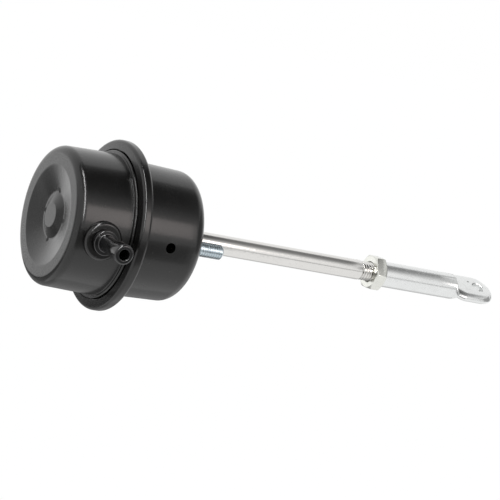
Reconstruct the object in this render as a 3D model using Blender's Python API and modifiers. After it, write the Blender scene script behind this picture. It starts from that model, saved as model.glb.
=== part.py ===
"""Wastegate actuator: a crimped diaphragm can that pushes a rod with an adjustable rod end.

The rod slides along world X. The origin is where the rod's axis meets the can's mounting
face. The pressure cap lies towards -X and the rod end towards +X. The hose nipple, the vent
hole and the front stud lie towards -Y. Every length is in metres and every angle in degrees.
"""

import math

import bmesh
import bpy
from mathutils import Matrix, Vector

# Sheet metal, rubber and clearances
SHEET = 0.0009
RUBBER = 0.0009
GAP = 0.0003
TRAVEL = 0.012
EDGE_BREAK = 0.0003

# Spring can
CAN_LENGTH = 0.0276
CAN_INSIDE_CAP = 0.0004
CAN_DRAFT = 0.0009
FLANGE_FILLET = 0.0012
FOLD_BEND = 0.0013
FOLD_WIDTH = 0.00375
FOLD_CLEARANCE = 0.0006
VENT_DIAMETER = 0.0040
VENT_FROM_FACE = 0.0148

# Pressure cap
CAP_HEIGHT = 0.0229
CAP_RADIUS = 0.0265
CAP_DRAFT = 0.0007
CAP_CORNER = 0.0032
CAP_STEP_WIDTH = 0.0012
CAP_STEP_HEIGHT = 0.0012
CAP_STEP_BEND = 0.0006
CAP_CLAMP_BEND = 0.0002
CAP_BAND_WIDTH = 0.0041
DISH_DEPTH = 0.0024
DISH_FLAT_WIDTH = 0.0006
DISH_BEND = 0.0006
BOSS_BASE_RADIUS = 0.0086
BOSS_TOP_RADIUS = 0.0047
BOSS_HEIGHT = 0.0014
BOSS_BEND = 0.0006
NOTCH_COUNT = 4
NOTCH_RING_RADIUS = 0.0095
NOTCH_RADIUS = 0.0009
NOTCH_DEPTH = 0.0004

# Hose nipple and its collar
NIPPLE_FROM_CAP_FACE = 0.0114
NIPPLE_BELOW_ROD = 0.0014
COLLAR_DIAMETER = 0.0148
COLLAR_HEIGHT = 0.0015
COLLAR_BEND = 0.0013
HUB_DIAMETER = 0.0096
HUB_HEIGHT = 0.0019
HUB_EDGE = 0.0004
HUB_FILLET = 0.0005
NIPPLE_DIAMETER = 0.0062
NIPPLE_BORE = 0.0041
NIPPLE_PROUD = 0.0202
BARB_DIAMETER = 0.0075
BARB_LENGTH = 0.0062
BARB_STEP = 0.0008
MOUTH_EDGE = 0.0002
NIPPLE_TAIL = 0.0008

# Studs and their plate
STUD_DIAMETER = 0.0059
STUD_FROM_SPRING = 0.00039
STUD_LENGTH = 0.0117
STUD_CHAMFER = 0.0007
STUD_HEAD_DIAMETER = 0.0074
STUD_HEAD_HEIGHT = 0.0014
PLATE_THICKNESS = 0.0015
PLATE_EDGE = 0.00025

# Guide bush, seal and rings
BUSH_DIAMETER = 0.0120
BUSH_FLANGE_THICKNESS = 0.0014
BUSH_NOSE = 0.0036
BUSH_SNOUT = 0.0016
SEAL_WALL = 0.0008
SEAL_LENGTH = 0.0014
SEAL_RETAINER_THICKNESS = 0.0006
PUSH_RING_WIDTH = 0.0028
PUSH_RING_THICKNESS = 0.0008

# Rod, rod end and jam nut
ROD_DIAMETER = 0.0080
ROD_THREAD_DIAMETER = 0.0077
ROD_STUB_DIAMETER = 0.0059
ROD_CHAMFER = 0.0007
EYE_REACH = 0.1430
ROD_END_LENGTH = 0.0486
ROD_END_DIAMETER = 0.0104
ROD_END_CHAMFER = 0.0005
ROD_END_CLOCK = 25.0
THREAD_ENGAGED = 0.0200
THREAD_RUNOUT = 0.0025
THREAD_EXPOSED = 0.0046
EYE_WIDTH = 0.0154
EYE_THICKNESS = 0.0039
EYE_SIDE_ROUND = 0.0029
EYE_BORE = 0.0050
EYE_TIP_BEHIND = 0.0003
EYE_TIP_TURN = 82.0
EYE_FLAT_BEHIND = 0.0114
SHOULDER_RUN = 0.0016
SHOULDER_EASE = 0.0012
SHOULDER_THICKNESS_SHARE = 0.97
SPREAD_RUN = 0.0036
SPREAD_AT_FLAT = 0.5
SIDE_AT_FLAT = 0.0044
NUT_ACROSS_FLATS = 0.0130
NUT_THICKNESS = 0.0050
NUT_CLOCK = 27.0
NUT_CHAMFER_ANGLE = 30.0
NUT_FACE_SHARE = 0.97

# Piston, diaphragm and what clamps them to the rod
HEAD_CLEARANCE = 0.0017
STUB_SHOWING = 0.0005
ROD_NUT_ACROSS_FLATS = 0.0100
ROD_NUT_THICKNESS = 0.0030
LOCK_WASHER_DIAMETER = 0.0112
LOCK_WASHER_THICKNESS = 0.0008
RETAINER_INSIDE_CUP = 0.0019
RETAINER_THICKNESS = 0.0010
RETAINER_EDGE = 0.0004
CUP_INSIDE_CAN = 0.0047
CUP_SHEET = 0.0010
CUP_DEPTH = 0.0160
CUP_CORNER = 0.0020
BACKING_THICKNESS = 0.0012
SLEEVE_WALL = 0.0020
ROLL_BELOW_FILLET = 0.0019
ROLL_CLEARANCE = 0.00045
ROLL_FULLNESS = 0.98

# Return spring
SPRING_WIRE = 0.0026
SPRING_PILOT_SHARE = 0.34
SPRING_TURNS = 6.5
SPRING_END_TURNS = 0.75
SPRING_END_PITCH = 1.12

# Smoothness of the turned shapes
SHELL_STEPS = 40
INNER_STEPS = 28
TURN_STEPS = 24
NUT_STEPS = 36
ARC_STEPS = 4
ARC_PIECE = 0.0008
STRAIGHTEST_CORNER = 88.0
ROOM_SHARE = 0.49
SECTION_STEPS = 6
ROUND_LIMIT = 0.999
TIP_SPACING = 0.8
SPRING_STEPS_PER_TURN = 14
SHARP_ANGLE = 32.0

# Running clearances
ROD_CLEAR_RADIUS = ROD_DIAMETER / 2 + GAP
STUB_CLEAR_RADIUS = ROD_STUB_DIAMETER / 2 + GAP
BUSH_CLEAR_RADIUS = BUSH_DIAMETER / 2 + GAP
STUD_CLEAR_RADIUS = STUD_DIAMETER / 2 + GAP
THREAD_CLEAR_RADIUS = ROD_THREAD_DIAMETER / 2 + GAP
NIPPLE_CLEAR_RADIUS = NIPPLE_DIAMETER / 2 + GAP

# Radii that follow from the cap's radius, from the crimp to the axis
CAN_RADIUS = CAP_RADIUS - CAN_INSIDE_CAP
CAP_FOOT_RADIUS = CAP_RADIUS + CAP_DRAFT
CAP_STEP_RADIUS = CAP_FOOT_RADIUS + CAP_STEP_WIDTH
FOLD_LIP_RADIUS = CAP_STEP_RADIUS + FOLD_CLEARANCE
FLANGE_RADIUS = FOLD_LIP_RADIUS + FOLD_WIDTH
CLAMPED_RADIUS = FLANGE_RADIUS - SHEET - GAP
CAP_BAND_INNER_RADIUS = CAP_RADIUS - CAP_CORNER - CAP_BAND_WIDTH
NIPPLE_REACH = CAP_FOOT_RADIUS + NIPPLE_PROUD
CUP_RADIUS = CAN_RADIUS - SHEET - CUP_INSIDE_CAN
RETAINER_RADIUS = CUP_RADIUS - RETAINER_INSIDE_CUP
BACKING_RADIUS = CAP_RADIUS * SPRING_PILOT_SHARE
SPRING_RADIUS = BACKING_RADIUS + GAP + SPRING_WIRE / 2
STUD_HEAD_RADIUS = STUD_HEAD_DIAMETER / 2
STUD_PITCH_RADIUS = SPRING_RADIUS + SPRING_WIRE / 2 + STUD_FROM_SPRING + STUD_HEAD_RADIUS
CAN_END_RADIUS = CAN_RADIUS - CAN_DRAFT
CAN_FLAT_RADIUS = STUD_PITCH_RADIUS + STUD_CLEAR_RADIUS + PLATE_EDGE + GAP
CAN_CORNER = CAN_END_RADIUS - CAN_FLAT_RADIUS
BUSH_FLANGE_RADIUS = BACKING_RADIUS - GAP
PUSH_RING_RADIUS = BUSH_DIAMETER / 2 + PUSH_RING_WIDTH
RECESS_RADIUS = PUSH_RING_RADIUS + 2 * GAP

# Stations along X, from the mounting face towards the cap
CAN_INNER_END = -SHEET
FLANGE_BACK = -CAN_LENGTH
CAN_FLANGE_INNER = FLANGE_BACK - SHEET
BEAD_BACK = CAN_FLANGE_INNER - GAP
BEAD_FRONT = BEAD_BACK - RUBBER
CAP_FLANGE_BACK = BEAD_FRONT - GAP
CAP_FLANGE_FRONT = CAP_FLANGE_BACK - SHEET
LIP_BACK = CAP_FLANGE_FRONT - GAP
LIP_FRONT = LIP_BACK - SHEET
CAP_FACE = LIP_FRONT - CAP_HEIGHT
DISH_FLOOR = CAP_FACE + DISH_DEPTH
BOSS_FACE = DISH_FLOOR - BOSS_HEIGHT
NIPPLE_X = CAP_FACE + NIPPLE_FROM_CAP_FACE

# Stations of the piston stack, from the cap towards the rod
STUB_END = BOSS_FACE + SHEET + HEAD_CLEARANCE
ROD_NUT_FRONT = STUB_END + STUB_SHOWING
LOCK_WASHER_FRONT = ROD_NUT_FRONT + ROD_NUT_THICKNESS + GAP
RETAINER_FRONT = LOCK_WASHER_FRONT + LOCK_WASHER_THICKNESS + GAP
RUBBER_FRONT = RETAINER_FRONT + RETAINER_THICKNESS + GAP
RUBBER_BACK = RUBBER_FRONT + RUBBER
CUP_FRONT = RUBBER_BACK + GAP
CUP_BACK = CUP_FRONT + CUP_SHEET
BACKING_FRONT = CUP_BACK + GAP
BACKING_BACK = BACKING_FRONT + BACKING_THICKNESS
ROD_SHOULDER = BACKING_BACK + GAP

# Stations at the can's end
PLATE_BACK = CAN_INNER_END - GAP
PLATE_FRONT = PLATE_BACK - PLATE_THICKNESS
RECESS_FLOOR = PLATE_FRONT + SHEET
BUSH_FLANGE_BACK = PLATE_FRONT - GAP
BUSH_FLANGE_FRONT = BUSH_FLANGE_BACK - BUSH_FLANGE_THICKNESS
BUSH_FRONT = BUSH_FLANGE_FRONT - BUSH_NOSE
SEAL_RETAINER_BACK = BUSH_FRONT - GAP
SEAL_RETAINER_FRONT = SEAL_RETAINER_BACK - SEAL_RETAINER_THICKNESS
SLEEVE_END = SEAL_RETAINER_FRONT - GAP - TRAVEL

# Stations of the rod end
ROD_END_START = EYE_REACH - ROD_END_LENGTH
NUT_BACK = ROD_END_START - GAP
NUT_FRONT = NUT_BACK - NUT_THICKNESS
SMOOTH_ROD_END = NUT_FRONT - THREAD_EXPOSED
ROD_TIP = ROD_END_START + THREAD_ENGAGED

STUD_SIDES = {"mounting_stud_front": -1, "mounting_stud_rear": 1}

PARTS_COLLECTION = "wastegate_actuator"
CUTTER_COLLECTION = "cutters"
TURN_TO_X = Matrix.Rotation(math.radians(90), 4, "Y")
MERGE = 0.00001
REACH_PAST = 0.004


def clear_scene():
    """Remove every object, so that the scene holds only this part."""
    for old in list(bpy.data.objects):
        bpy.data.objects.remove(old, do_unlink=True)


def new_collection(name):
    """Make a collection and link it to the scene."""
    collection = bpy.data.collections.new(name)
    bpy.context.scene.collection.children.link(collection)
    return collection


def new_material(name, colour, roughness, metallic):
    """Make a Principled material of one colour."""
    material = bpy.data.materials.new(name)
    material.use_nodes = True
    shader = material.node_tree.nodes["Principled BSDF"]
    shader.inputs["Base Color"].default_value = (*colour, 1.0)
    shader.inputs["Roughness"].default_value = roughness
    shader.inputs["Metallic"].default_value = metallic
    material.diffuse_color = (*colour, 1.0)
    return material


def black_paint():
    """Satin black paint on the two cans and the collar."""
    return new_material("black_paint", (0.022, 0.022, 0.021), 0.42, 0.0)


def gloss_black():
    """Glossier black on the hose nipple."""
    return new_material("gloss_black", (0.016, 0.017, 0.017), 0.22, 0.0)


def bright_zinc():
    """Bluish bright zinc on the studs."""
    return new_material("bright_zinc", (0.62, 0.68, 0.72), 0.32, 1.0)


def polished_steel():
    """Polished rod steel."""
    return new_material("polished_steel", (0.72, 0.71, 0.69), 0.16, 1.0)


def nickel_plate():
    """Slightly warm plating on the jam nut."""
    return new_material("nickel_plate", (0.74, 0.74, 0.69), 0.26, 1.0)


def satin_steel():
    """Pale satin steel of the rod end."""
    return new_material("satin_steel", (0.76, 0.77, 0.76), 0.30, 1.0)


def inner_steel():
    """Plain plated steel of the pieces inside the can."""
    return new_material("inner_steel", (0.55, 0.54, 0.50), 0.40, 1.0)


def spring_steel():
    """Dark oiled spring wire."""
    return new_material("spring_steel", (0.20, 0.20, 0.21), 0.35, 1.0)


def bush_bronze():
    """Sintered bronze of the guide bush."""
    return new_material("bush_bronze", (0.48, 0.33, 0.16), 0.45, 1.0)


def black_rubber():
    """Diaphragm rubber."""
    return new_material("black_rubber", (0.03, 0.03, 0.03), 0.75, 0.0)


def seal_felt():
    """Pale wiper seal."""
    return new_material("seal_felt", (0.78, 0.76, 0.70), 0.80, 0.0)


def fillet_points(before, corner, after, radius):
    """Points of the arc that rounds a corner, with its radius limited by both sides."""
    to_before = (before - corner).normalized()
    to_after = (after - corner).normalized()
    half = to_before.angle(to_after) / 2
    if radius <= 0 or half > math.radians(STRAIGHTEST_CORNER):
        return [corner]
    room = ROOM_SHARE * min((before - corner).length, (after - corner).length)
    tangent = min(radius / math.tan(half), room)
    limited = tangent * math.tan(half)
    centre = corner + (to_before + to_after).normalized() * (limited / math.sin(half))
    start = corner + to_before * tangent - centre
    sweep = start.angle_signed(corner + to_after * tangent - centre)
    pieces = round(limited * abs(sweep) / ARC_PIECE)
    steps = max(1, min(ARC_STEPS, pieces))
    arc = []
    for step in range(steps + 1):
        turn = -sweep * step / steps
        arc.append(centre + Matrix.Rotation(turn, 2) @ start)
    return arc


def rounded_path(corners, closed=False):
    """Points of an outline given as corners (radius, x, fillet)."""
    places = [Vector((corner[0], corner[1])) for corner in corners]
    count = len(places)
    points = []
    for index, place in enumerate(places):
        is_end = not closed and index in (0, count - 1)
        if is_end:
            points.append(place)
            continue
        before = places[index - 1]
        after = places[(index + 1) % count]
        points.extend(fillet_points(before, place, after, corners[index][2]))
    return points


def mesh_from(name, build):
    """Make a mesh by a function that fills a bmesh."""
    work = bmesh.new()
    build(work)
    mesh = bpy.data.meshes.new(name)
    work.to_mesh(mesh)
    work.free()
    return mesh


def place_object(name, mesh, material=None, placing=TURN_TO_X):
    """Make an object in the parts collection, or a cutter where it has no material."""
    shape = bpy.data.objects.new(name, mesh)
    shape.matrix_world = placing
    if material is None:
        shape.hide_render = True
        shape.display_type = "WIRE"
        bpy.data.collections[CUTTER_COLLECTION].objects.link(shape)
        return shape
    mesh.materials.append(material)
    bpy.data.collections[PARTS_COLLECTION].objects.link(shape)
    return shape


def profile_mesh(name, points, closed):
    """A mesh that holds only a profile's edges, radius along X and station along Z."""

    def build(work):
        verts = [work.verts.new((point.x, 0.0, point.y)) for point in points]
        for first, second in zip(verts, verts[1:]):
            work.edges.new((first, second))
        if closed:
            work.edges.new((verts[-1], verts[0]))

    return mesh_from(name, build)


def turned(name, corners, material=None, closed=True, wall=0.0, steps=TURN_STEPS,
           placing=TURN_TO_X):
    """Turn a profile about its axis; an open profile gets a wall of sheet metal."""
    points = rounded_path(corners, closed)
    shape = place_object(name, profile_mesh(name, points, closed), material, placing)
    screw = shape.modifiers.new("turn", "SCREW")
    screw.axis = "Z"
    screw.angle = math.radians(360)
    screw.steps = steps
    screw.render_steps = steps
    screw.use_merge_vertices = True
    screw.merge_threshold = MERGE
    screw.use_smooth_shade = True
    if wall:
        thicken = shape.modifiers.new("wall", "SOLIDIFY")
        thicken.thickness = wall
        thicken.offset = -1.0
        thicken.use_even_offset = True
    return shape


def turned_rod(name, corners, material=None, steps=TURN_STEPS, placing=TURN_TO_X):
    """Turn an open profile whose two ends lie on the axis into a solid."""
    return turned(name, corners, material, closed=False, steps=steps, placing=placing)


def ring_corners(inner, outer, front, back, edge=0.0):
    """Corners of a plain ring between two stations, outer side first."""
    return [
        (outer, back, edge),
        (outer, front, edge),
        (inner, front, 0.0),
        (inner, back, 0.0),
    ]


def combine(shape, tool, operation):
    """Cut a shape by a tool, keep their common part, or join them."""
    step = shape.modifiers.new(operation.lower(), "BOOLEAN")
    step.operation = operation
    step.object = tool
    step.solver = "EXACT"


def drill(shape, name, radius, front, back, placing=TURN_TO_X, steps=TURN_STEPS):
    """Cut a round hole between two stations along a placing's axis."""
    corners = [(0.0, back, 0.0), (radius, back, 0.0), (radius, front, 0.0), (0.0, front, 0.0)]
    cutter = turned_rod(name, corners, steps=steps, placing=placing)
    combine(shape, cutter, "DIFFERENCE")


def hexagon(name, across_flats, front, back, material, clock=0.0):
    """A hexagonal block with rounded corners at both faces, as a nut has."""
    corner_radius = across_flats / math.sqrt(3)
    depth = back - front

    def build(work):
        place = Matrix.Translation((0.0, 0.0, (front + back) / 2))
        turn = Matrix.Rotation(math.radians(clock), 4, "Z")
        bmesh.ops.create_cone(
            work, cap_ends=True, segments=6, radius1=corner_radius, radius2=corner_radius,
            depth=depth, matrix=place @ turn,
        )

    nut = place_object(name, mesh_from(name, build), material)
    face_radius = across_flats / 2 * NUT_FACE_SHARE
    fall = (corner_radius + GAP - face_radius) * math.tan(math.radians(NUT_CHAMFER_ANGLE))
    corners = [
        (0.0, back, 0.0),
        (face_radius, back, 0.0),
        (corner_radius + GAP, back - fall, 0.0),
        (corner_radius + GAP, front + fall, 0.0),
        (face_radius, front, 0.0),
        (0.0, front, 0.0),
    ]
    turned_blank = turned_rod(name + "_chamfers", corners, steps=NUT_STEPS)
    combine(nut, turned_blank, "INTERSECT")
    return nut


def to_side(station, drop=0.0):
    """Placing at a station, some way below the rod's axis, whose local Z points towards -Y."""
    return Matrix.Translation((station, 0.0, -drop)) @ Matrix.Rotation(math.radians(90), 4, "X")


def to_nipple():
    """Placing of the nipple's axis, whose local Z points towards -Y."""
    return to_side(NIPPLE_X, NIPPLE_BELOW_ROD)


def to_stud(side):
    """Placing of one stud's axis, beside the rod."""
    return Matrix.Translation((0.0, side * STUD_PITCH_RADIUS, 0.0)) @ TURN_TO_X


def spring_can(paint):
    """The can with its mounting end, bush recess, vent hole and folded flange."""
    corners = [
        (BUSH_CLEAR_RADIUS, RECESS_FLOOR, 0.0),
        (RECESS_RADIUS, RECESS_FLOOR, EDGE_BREAK),
        (RECESS_RADIUS, 0.0, 0.0),
        (CAN_END_RADIUS, 0.0, CAN_CORNER),
        (CAN_RADIUS, FLANGE_BACK, FLANGE_FILLET),
        (FLANGE_RADIUS, FLANGE_BACK, FOLD_BEND),
        (FLANGE_RADIUS, LIP_FRONT, FOLD_BEND),
        (FOLD_LIP_RADIUS, LIP_FRONT, 0.0),
    ]
    can = turned("spring_can", corners, paint, closed=False, wall=SHEET, steps=SHELL_STEPS)
    drill(can, "vent_drill", VENT_DIAMETER / 2, CAN_RADIUS - REACH_PAST,
          CAN_RADIUS + REACH_PAST, to_side(-VENT_FROM_FACE))
    for name, side in STUD_SIDES.items():
        drill(can, name + "_can_drill", STUD_CLEAR_RADIUS, -REACH_PAST, REACH_PAST,
              to_stud(side))
    return can


def cap_outline():
    """Corners of the pressure cap's outer side, from its clamped edge to its centre."""
    step_top = CAP_FLANGE_FRONT - CAP_STEP_HEIGHT - SHEET
    return [
        (CLAMPED_RADIUS, CAP_FLANGE_FRONT, 0.0),
        (CAP_STEP_RADIUS, CAP_FLANGE_FRONT, CAP_CLAMP_BEND),
        (CAP_STEP_RADIUS, step_top, CAP_STEP_BEND),
        (CAP_FOOT_RADIUS, step_top, EDGE_BREAK),
        (CAP_RADIUS, CAP_FACE, CAP_CORNER),
        (CAP_BAND_INNER_RADIUS, CAP_FACE, EDGE_BREAK),
        (BOSS_BASE_RADIUS + DISH_FLAT_WIDTH, DISH_FLOOR, DISH_BEND),
        (BOSS_BASE_RADIUS, DISH_FLOOR, BOSS_BEND),
        (BOSS_TOP_RADIUS, BOSS_FACE, BOSS_BEND),
        (0.0, BOSS_FACE, 0.0),
    ]


def pressure_cap(paint):
    """The cap with its dished face, boss, pressed notches, foot step and nipple hole."""
    cap = turned("pressure_cap", cap_outline(), paint, closed=False, wall=SHEET,
                 steps=SHELL_STEPS)
    drill(cap, "nipple_drill", NIPPLE_CLEAR_RADIUS, CAP_RADIUS - REACH_PAST,
          CAP_RADIUS + REACH_PAST, to_nipple())
    for index in range(NOTCH_COUNT):
        turn = math.radians(360 / NOTCH_COUNT * index)
        centre = Vector((
            DISH_FLOOR - NOTCH_RADIUS + NOTCH_DEPTH,
            NOTCH_RING_RADIUS * math.sin(turn),
            NOTCH_RING_RADIUS * math.cos(turn),
        ))
        press_notch(cap, index, centre)
    return cap


def press_notch(cap, index, centre):
    """Press one small round notch into the dish, close to the boss's foot."""

    def build(work):
        bmesh.ops.create_icosphere(work, subdivisions=1, radius=NOTCH_RADIUS)

    name = "notch_punch_" + str(index + 1)
    punch = place_object(name, mesh_from(name, build), None, Matrix.Translation(centre))
    combine(cap, punch, "DIFFERENCE")


def collar_top():
    """Distance of the collar's top from the rod's axis."""
    return CAP_FOOT_RADIUS + COLLAR_HEIGHT


def nipple_boss(paint):
    """The round collar, its foot saddled to the cap's side."""
    foot = CAP_RADIUS - COLLAR_DIAMETER / 4
    corners = [
        (COLLAR_DIAMETER / 2, collar_top(), COLLAR_BEND),
        (COLLAR_DIAMETER / 2, foot, 0.0),
        (NIPPLE_CLEAR_RADIUS, foot, 0.0),
        (NIPPLE_CLEAR_RADIUS, collar_top(), 0.0),
    ]
    boss = turned("nipple_boss", corners, paint, placing=to_nipple(),
                  steps=TURN_STEPS * 2)
    saddle = [
        (0.0, FLANGE_BACK, 0.0),
        (CAP_FOOT_RADIUS + GAP, FLANGE_BACK, 0.0),
        (CAP_RADIUS + GAP, CAP_FACE, 0.0),
        (0.0, CAP_FACE, 0.0),
    ]
    cutter = turned_rod("collar_saddle", saddle, steps=SHELL_STEPS * 2)
    combine(boss, cutter, "DIFFERENCE")
    return boss


def hose_nipple(gloss):
    """The turned nipple: tail through the cap, hub on the collar, neck, barb and bore."""
    hub_foot = collar_top() + GAP
    hub_top = hub_foot + HUB_HEIGHT
    barb_foot = NIPPLE_REACH - BARB_LENGTH
    neck = NIPPLE_DIAMETER / 2
    tail_end = CAP_RADIUS - SHEET - NIPPLE_TAIL - GAP
    corners = [
        (NIPPLE_BORE / 2, NIPPLE_REACH, MOUTH_EDGE),
        (BARB_DIAMETER / 2, NIPPLE_REACH, BARB_STEP),
        (BARB_DIAMETER / 2, barb_foot + BARB_STEP, EDGE_BREAK),
        (neck, barb_foot, 0.0),
        (neck, hub_top, HUB_FILLET),
        (HUB_DIAMETER / 2, hub_top, HUB_EDGE),
        (HUB_DIAMETER / 2, hub_foot, 0.0),
        (neck, hub_foot, 0.0),
        (neck, tail_end, 0.0),
        (NIPPLE_BORE / 2, tail_end, 0.0),
    ]
    return turned("hose_nipple", corners, gloss, placing=to_nipple())


def mounting_stud(name, side, zinc):
    """One stud with its head inside the can and a chamfered end."""
    radius = STUD_DIAMETER / 2
    head_back = PLATE_FRONT - GAP
    head_front = head_back - STUD_HEAD_HEIGHT
    corners = [
        (0.0, STUD_LENGTH, 0.0),
        (radius - STUD_CHAMFER, STUD_LENGTH, 0.0),
        (radius, STUD_LENGTH - STUD_CHAMFER, 0.0),
        (radius, head_back, 0.0),
        (STUD_HEAD_RADIUS, head_back, 0.0),
        (STUD_HEAD_RADIUS, head_front, EDGE_BREAK),
        (0.0, head_front, 0.0),
    ]
    return turned_rod(name, corners, zinc, placing=to_stud(side))


def stud_plate(steel):
    """The reinforcing plate round the can's recess, drilled for the studs."""
    inner = RECESS_RADIUS + SHEET + GAP
    outer = CAN_FLAT_RADIUS - GAP
    corners = ring_corners(inner, outer, PLATE_FRONT, PLATE_BACK)
    plate = turned("stud_plate", corners, steel, steps=INNER_STEPS)
    for name, side in STUD_SIDES.items():
        drill(plate, name + "_plate_drill", STUD_CLEAR_RADIUS, -REACH_PAST, REACH_PAST,
              to_stud(side))
    return plate


def guide_bush(bronze):
    """The flanged bush that guides the rod, counterbored for the wiper seal."""
    radius = BUSH_DIAMETER / 2
    pocket = ROD_CLEAR_RADIUS + SEAL_WALL + GAP
    pocket_end = BUSH_FRONT + SEAL_LENGTH + GAP
    corners = [
        (radius, BUSH_SNOUT, EDGE_BREAK),
        (radius, BUSH_FLANGE_BACK, 0.0),
        (BUSH_FLANGE_RADIUS, BUSH_FLANGE_BACK, 0.0),
        (BUSH_FLANGE_RADIUS, BUSH_FLANGE_FRONT, 0.0),
        (radius, BUSH_FLANGE_FRONT, 0.0),
        (radius, BUSH_FRONT, 0.0),
        (pocket, BUSH_FRONT, 0.0),
        (pocket, pocket_end, 0.0),
        (ROD_CLEAR_RADIUS, pocket_end, 0.0),
        (ROD_CLEAR_RADIUS, BUSH_SNOUT, 0.0),
    ]
    return turned("guide_bush", corners, bronze)


def push_rod(steel):
    """The rod: threaded tip, smooth shank and the shouldered stub in the piston."""
    thread = ROD_THREAD_DIAMETER / 2
    shank = ROD_DIAMETER / 2
    stub = ROD_STUB_DIAMETER / 2
    corners = [
        (0.0, ROD_TIP, 0.0),
        (thread - ROD_CHAMFER, ROD_TIP, 0.0),
        (thread, ROD_TIP - ROD_CHAMFER, 0.0),
        (thread, SMOOTH_ROD_END, 0.0),
        (shank, SMOOTH_ROD_END - GAP, 0.0),
        (shank, ROD_SHOULDER, 0.0),
        (stub, ROD_SHOULDER, 0.0),
        (stub, STUB_END + ROD_CHAMFER, 0.0),
        (stub - ROD_CHAMFER, STUB_END, 0.0),
        (0.0, STUB_END, 0.0),
    ]
    return turned_rod("push_rod", corners, steel)


def jam_nut(plate):
    """The thin nut that locks the rod end on the rod's thread."""
    nut = hexagon("jam_nut", NUT_ACROSS_FLATS, NUT_FRONT, NUT_BACK, plate, 90 + NUT_CLOCK)
    drill(nut, "jam_nut_drill", THREAD_CLEAR_RADIUS, NUT_FRONT - REACH_PAST,
          NUT_BACK + REACH_PAST)
    return nut


def rod_nut(steel):
    """The nut that clamps the piston on the rod's stub."""
    back = ROD_NUT_FRONT + ROD_NUT_THICKNESS
    nut = hexagon("rod_nut", ROD_NUT_ACROSS_FLATS, ROD_NUT_FRONT, back, steel)
    drill(nut, "rod_nut_drill", STUB_CLEAR_RADIUS, ROD_NUT_FRONT - REACH_PAST,
          back + REACH_PAST)
    return nut


def rod_end_sections():
    """Sections (station, half width, half thickness, width of a round side) of the rod end."""
    bar = ROD_END_DIAMETER / 2
    half_width = EYE_WIDTH / 2
    half_thickness = EYE_THICKNESS / 2
    flat_start = EYE_REACH - EYE_FLAT_BEHIND
    shoulder = flat_start - SHOULDER_RUN
    spread = bar + (half_width - bar) * SPREAD_AT_FLAT
    sections = [
        (ROD_END_START, bar - ROD_END_CHAMFER, bar - ROD_END_CHAMFER, bar),
        (ROD_END_START + ROD_END_CHAMFER, bar, bar, bar),
        (shoulder - SHOULDER_EASE, bar, bar, bar),
        (shoulder, bar, bar * SHOULDER_THICKNESS_SHARE, bar),
        (flat_start, spread, half_thickness, SIDE_AT_FLAT),
        (flat_start + SPREAD_RUN, half_width, half_thickness, EYE_SIDE_ROUND),
    ]
    flat_radius = half_width - EYE_SIDE_ROUND
    tip_steps = ARC_STEPS * 2
    for step in range(tip_steps + 1):
        turn = math.radians(EYE_TIP_TURN * (step / tip_steps) ** TIP_SPACING)
        past = half_width * math.sin(turn)
        wide = half_width * math.cos(turn)
        flat = math.sqrt(max(0.0, flat_radius ** 2 - past ** 2))
        fall = max(0.0, past - flat_radius) / EYE_SIDE_ROUND
        thick = half_thickness * math.sqrt(1 - fall ** 2)
        sections.append((EYE_REACH - EYE_TIP_BEHIND + past, wide, thick, wide - flat))
    return sections


def section_ring(work, station, half_width, half_thickness, side):
    """One ring: flat above and below, with a round side at each end."""
    across = min(side, half_width * ROUND_LIMIT)
    deep = half_thickness * ROUND_LIMIT
    ring = []
    for quarter in range(4):
        side_x = 1 if quarter in (0, 3) else -1
        side_y = 1 if quarter in (0, 1) else -1
        for step in range(SECTION_STEPS):
            turn = math.radians(90 * (quarter + (step + 0.5) / SECTION_STEPS))
            x = side_x * (half_width - across) + across * math.cos(turn)
            y = side_y * (half_thickness - deep) + deep * math.sin(turn)
            ring.append(work.verts.new((x, y, station)))
    return ring


def rod_end(steel):
    """The rod end: round bar lofted into a flat eye, with its thread hole and pin hole."""

    def build(work):
        rings = [section_ring(work, *section) for section in rod_end_sections()]
        work.faces.new(list(reversed(rings[0])))
        work.faces.new(rings[-1])
        for low, high in zip(rings, rings[1:]):
            for index in range(len(low)):
                following = (index + 1) % len(low)
                work.faces.new((low[index], low[following], high[following], high[index]))

    clock = Matrix.Rotation(math.radians(ROD_END_CLOCK), 4, "X")
    placing = clock @ TURN_TO_X @ Matrix.Rotation(math.radians(90), 4, "Z")
    end = place_object("rod_end", mesh_from("rod_end", build), steel, placing)
    drill(end, "thread_drill", THREAD_CLEAR_RADIUS, ROD_END_START - REACH_PAST,
          ROD_TIP + THREAD_RUNOUT)
    pin = clock @ Matrix.Translation((EYE_REACH, 0.0, 0.0))
    drill(end, "pin_drill", EYE_BORE / 2, -REACH_PAST, REACH_PAST, pin)
    return end


def diaphragm(rubber):
    """The rolling diaphragm: head, skirt, rolled fold and clamped edge."""
    inner_leg = CUP_RADIUS + GAP
    outer_leg = CAN_RADIUS - SHEET - ROLL_CLEARANCE
    roll = (outer_leg - inner_leg) / 2
    roll_start = FLANGE_BACK + FLANGE_FILLET + ROLL_BELOW_FILLET
    roll_end = roll_start + roll
    corners = [
        (STUB_CLEAR_RADIUS, RUBBER_BACK, 0.0),
        (inner_leg, RUBBER_BACK, CUP_CORNER + GAP),
        (inner_leg, roll_end, roll * ROLL_FULLNESS),
        (outer_leg, roll_end, roll * ROLL_FULLNESS),
        (outer_leg, BEAD_BACK, FLANGE_FILLET + SHEET + GAP),
        (CLAMPED_RADIUS, BEAD_BACK, 0.0),
    ]
    return turned("diaphragm", corners, rubber, closed=False, wall=RUBBER,
                  steps=INNER_STEPS)


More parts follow.
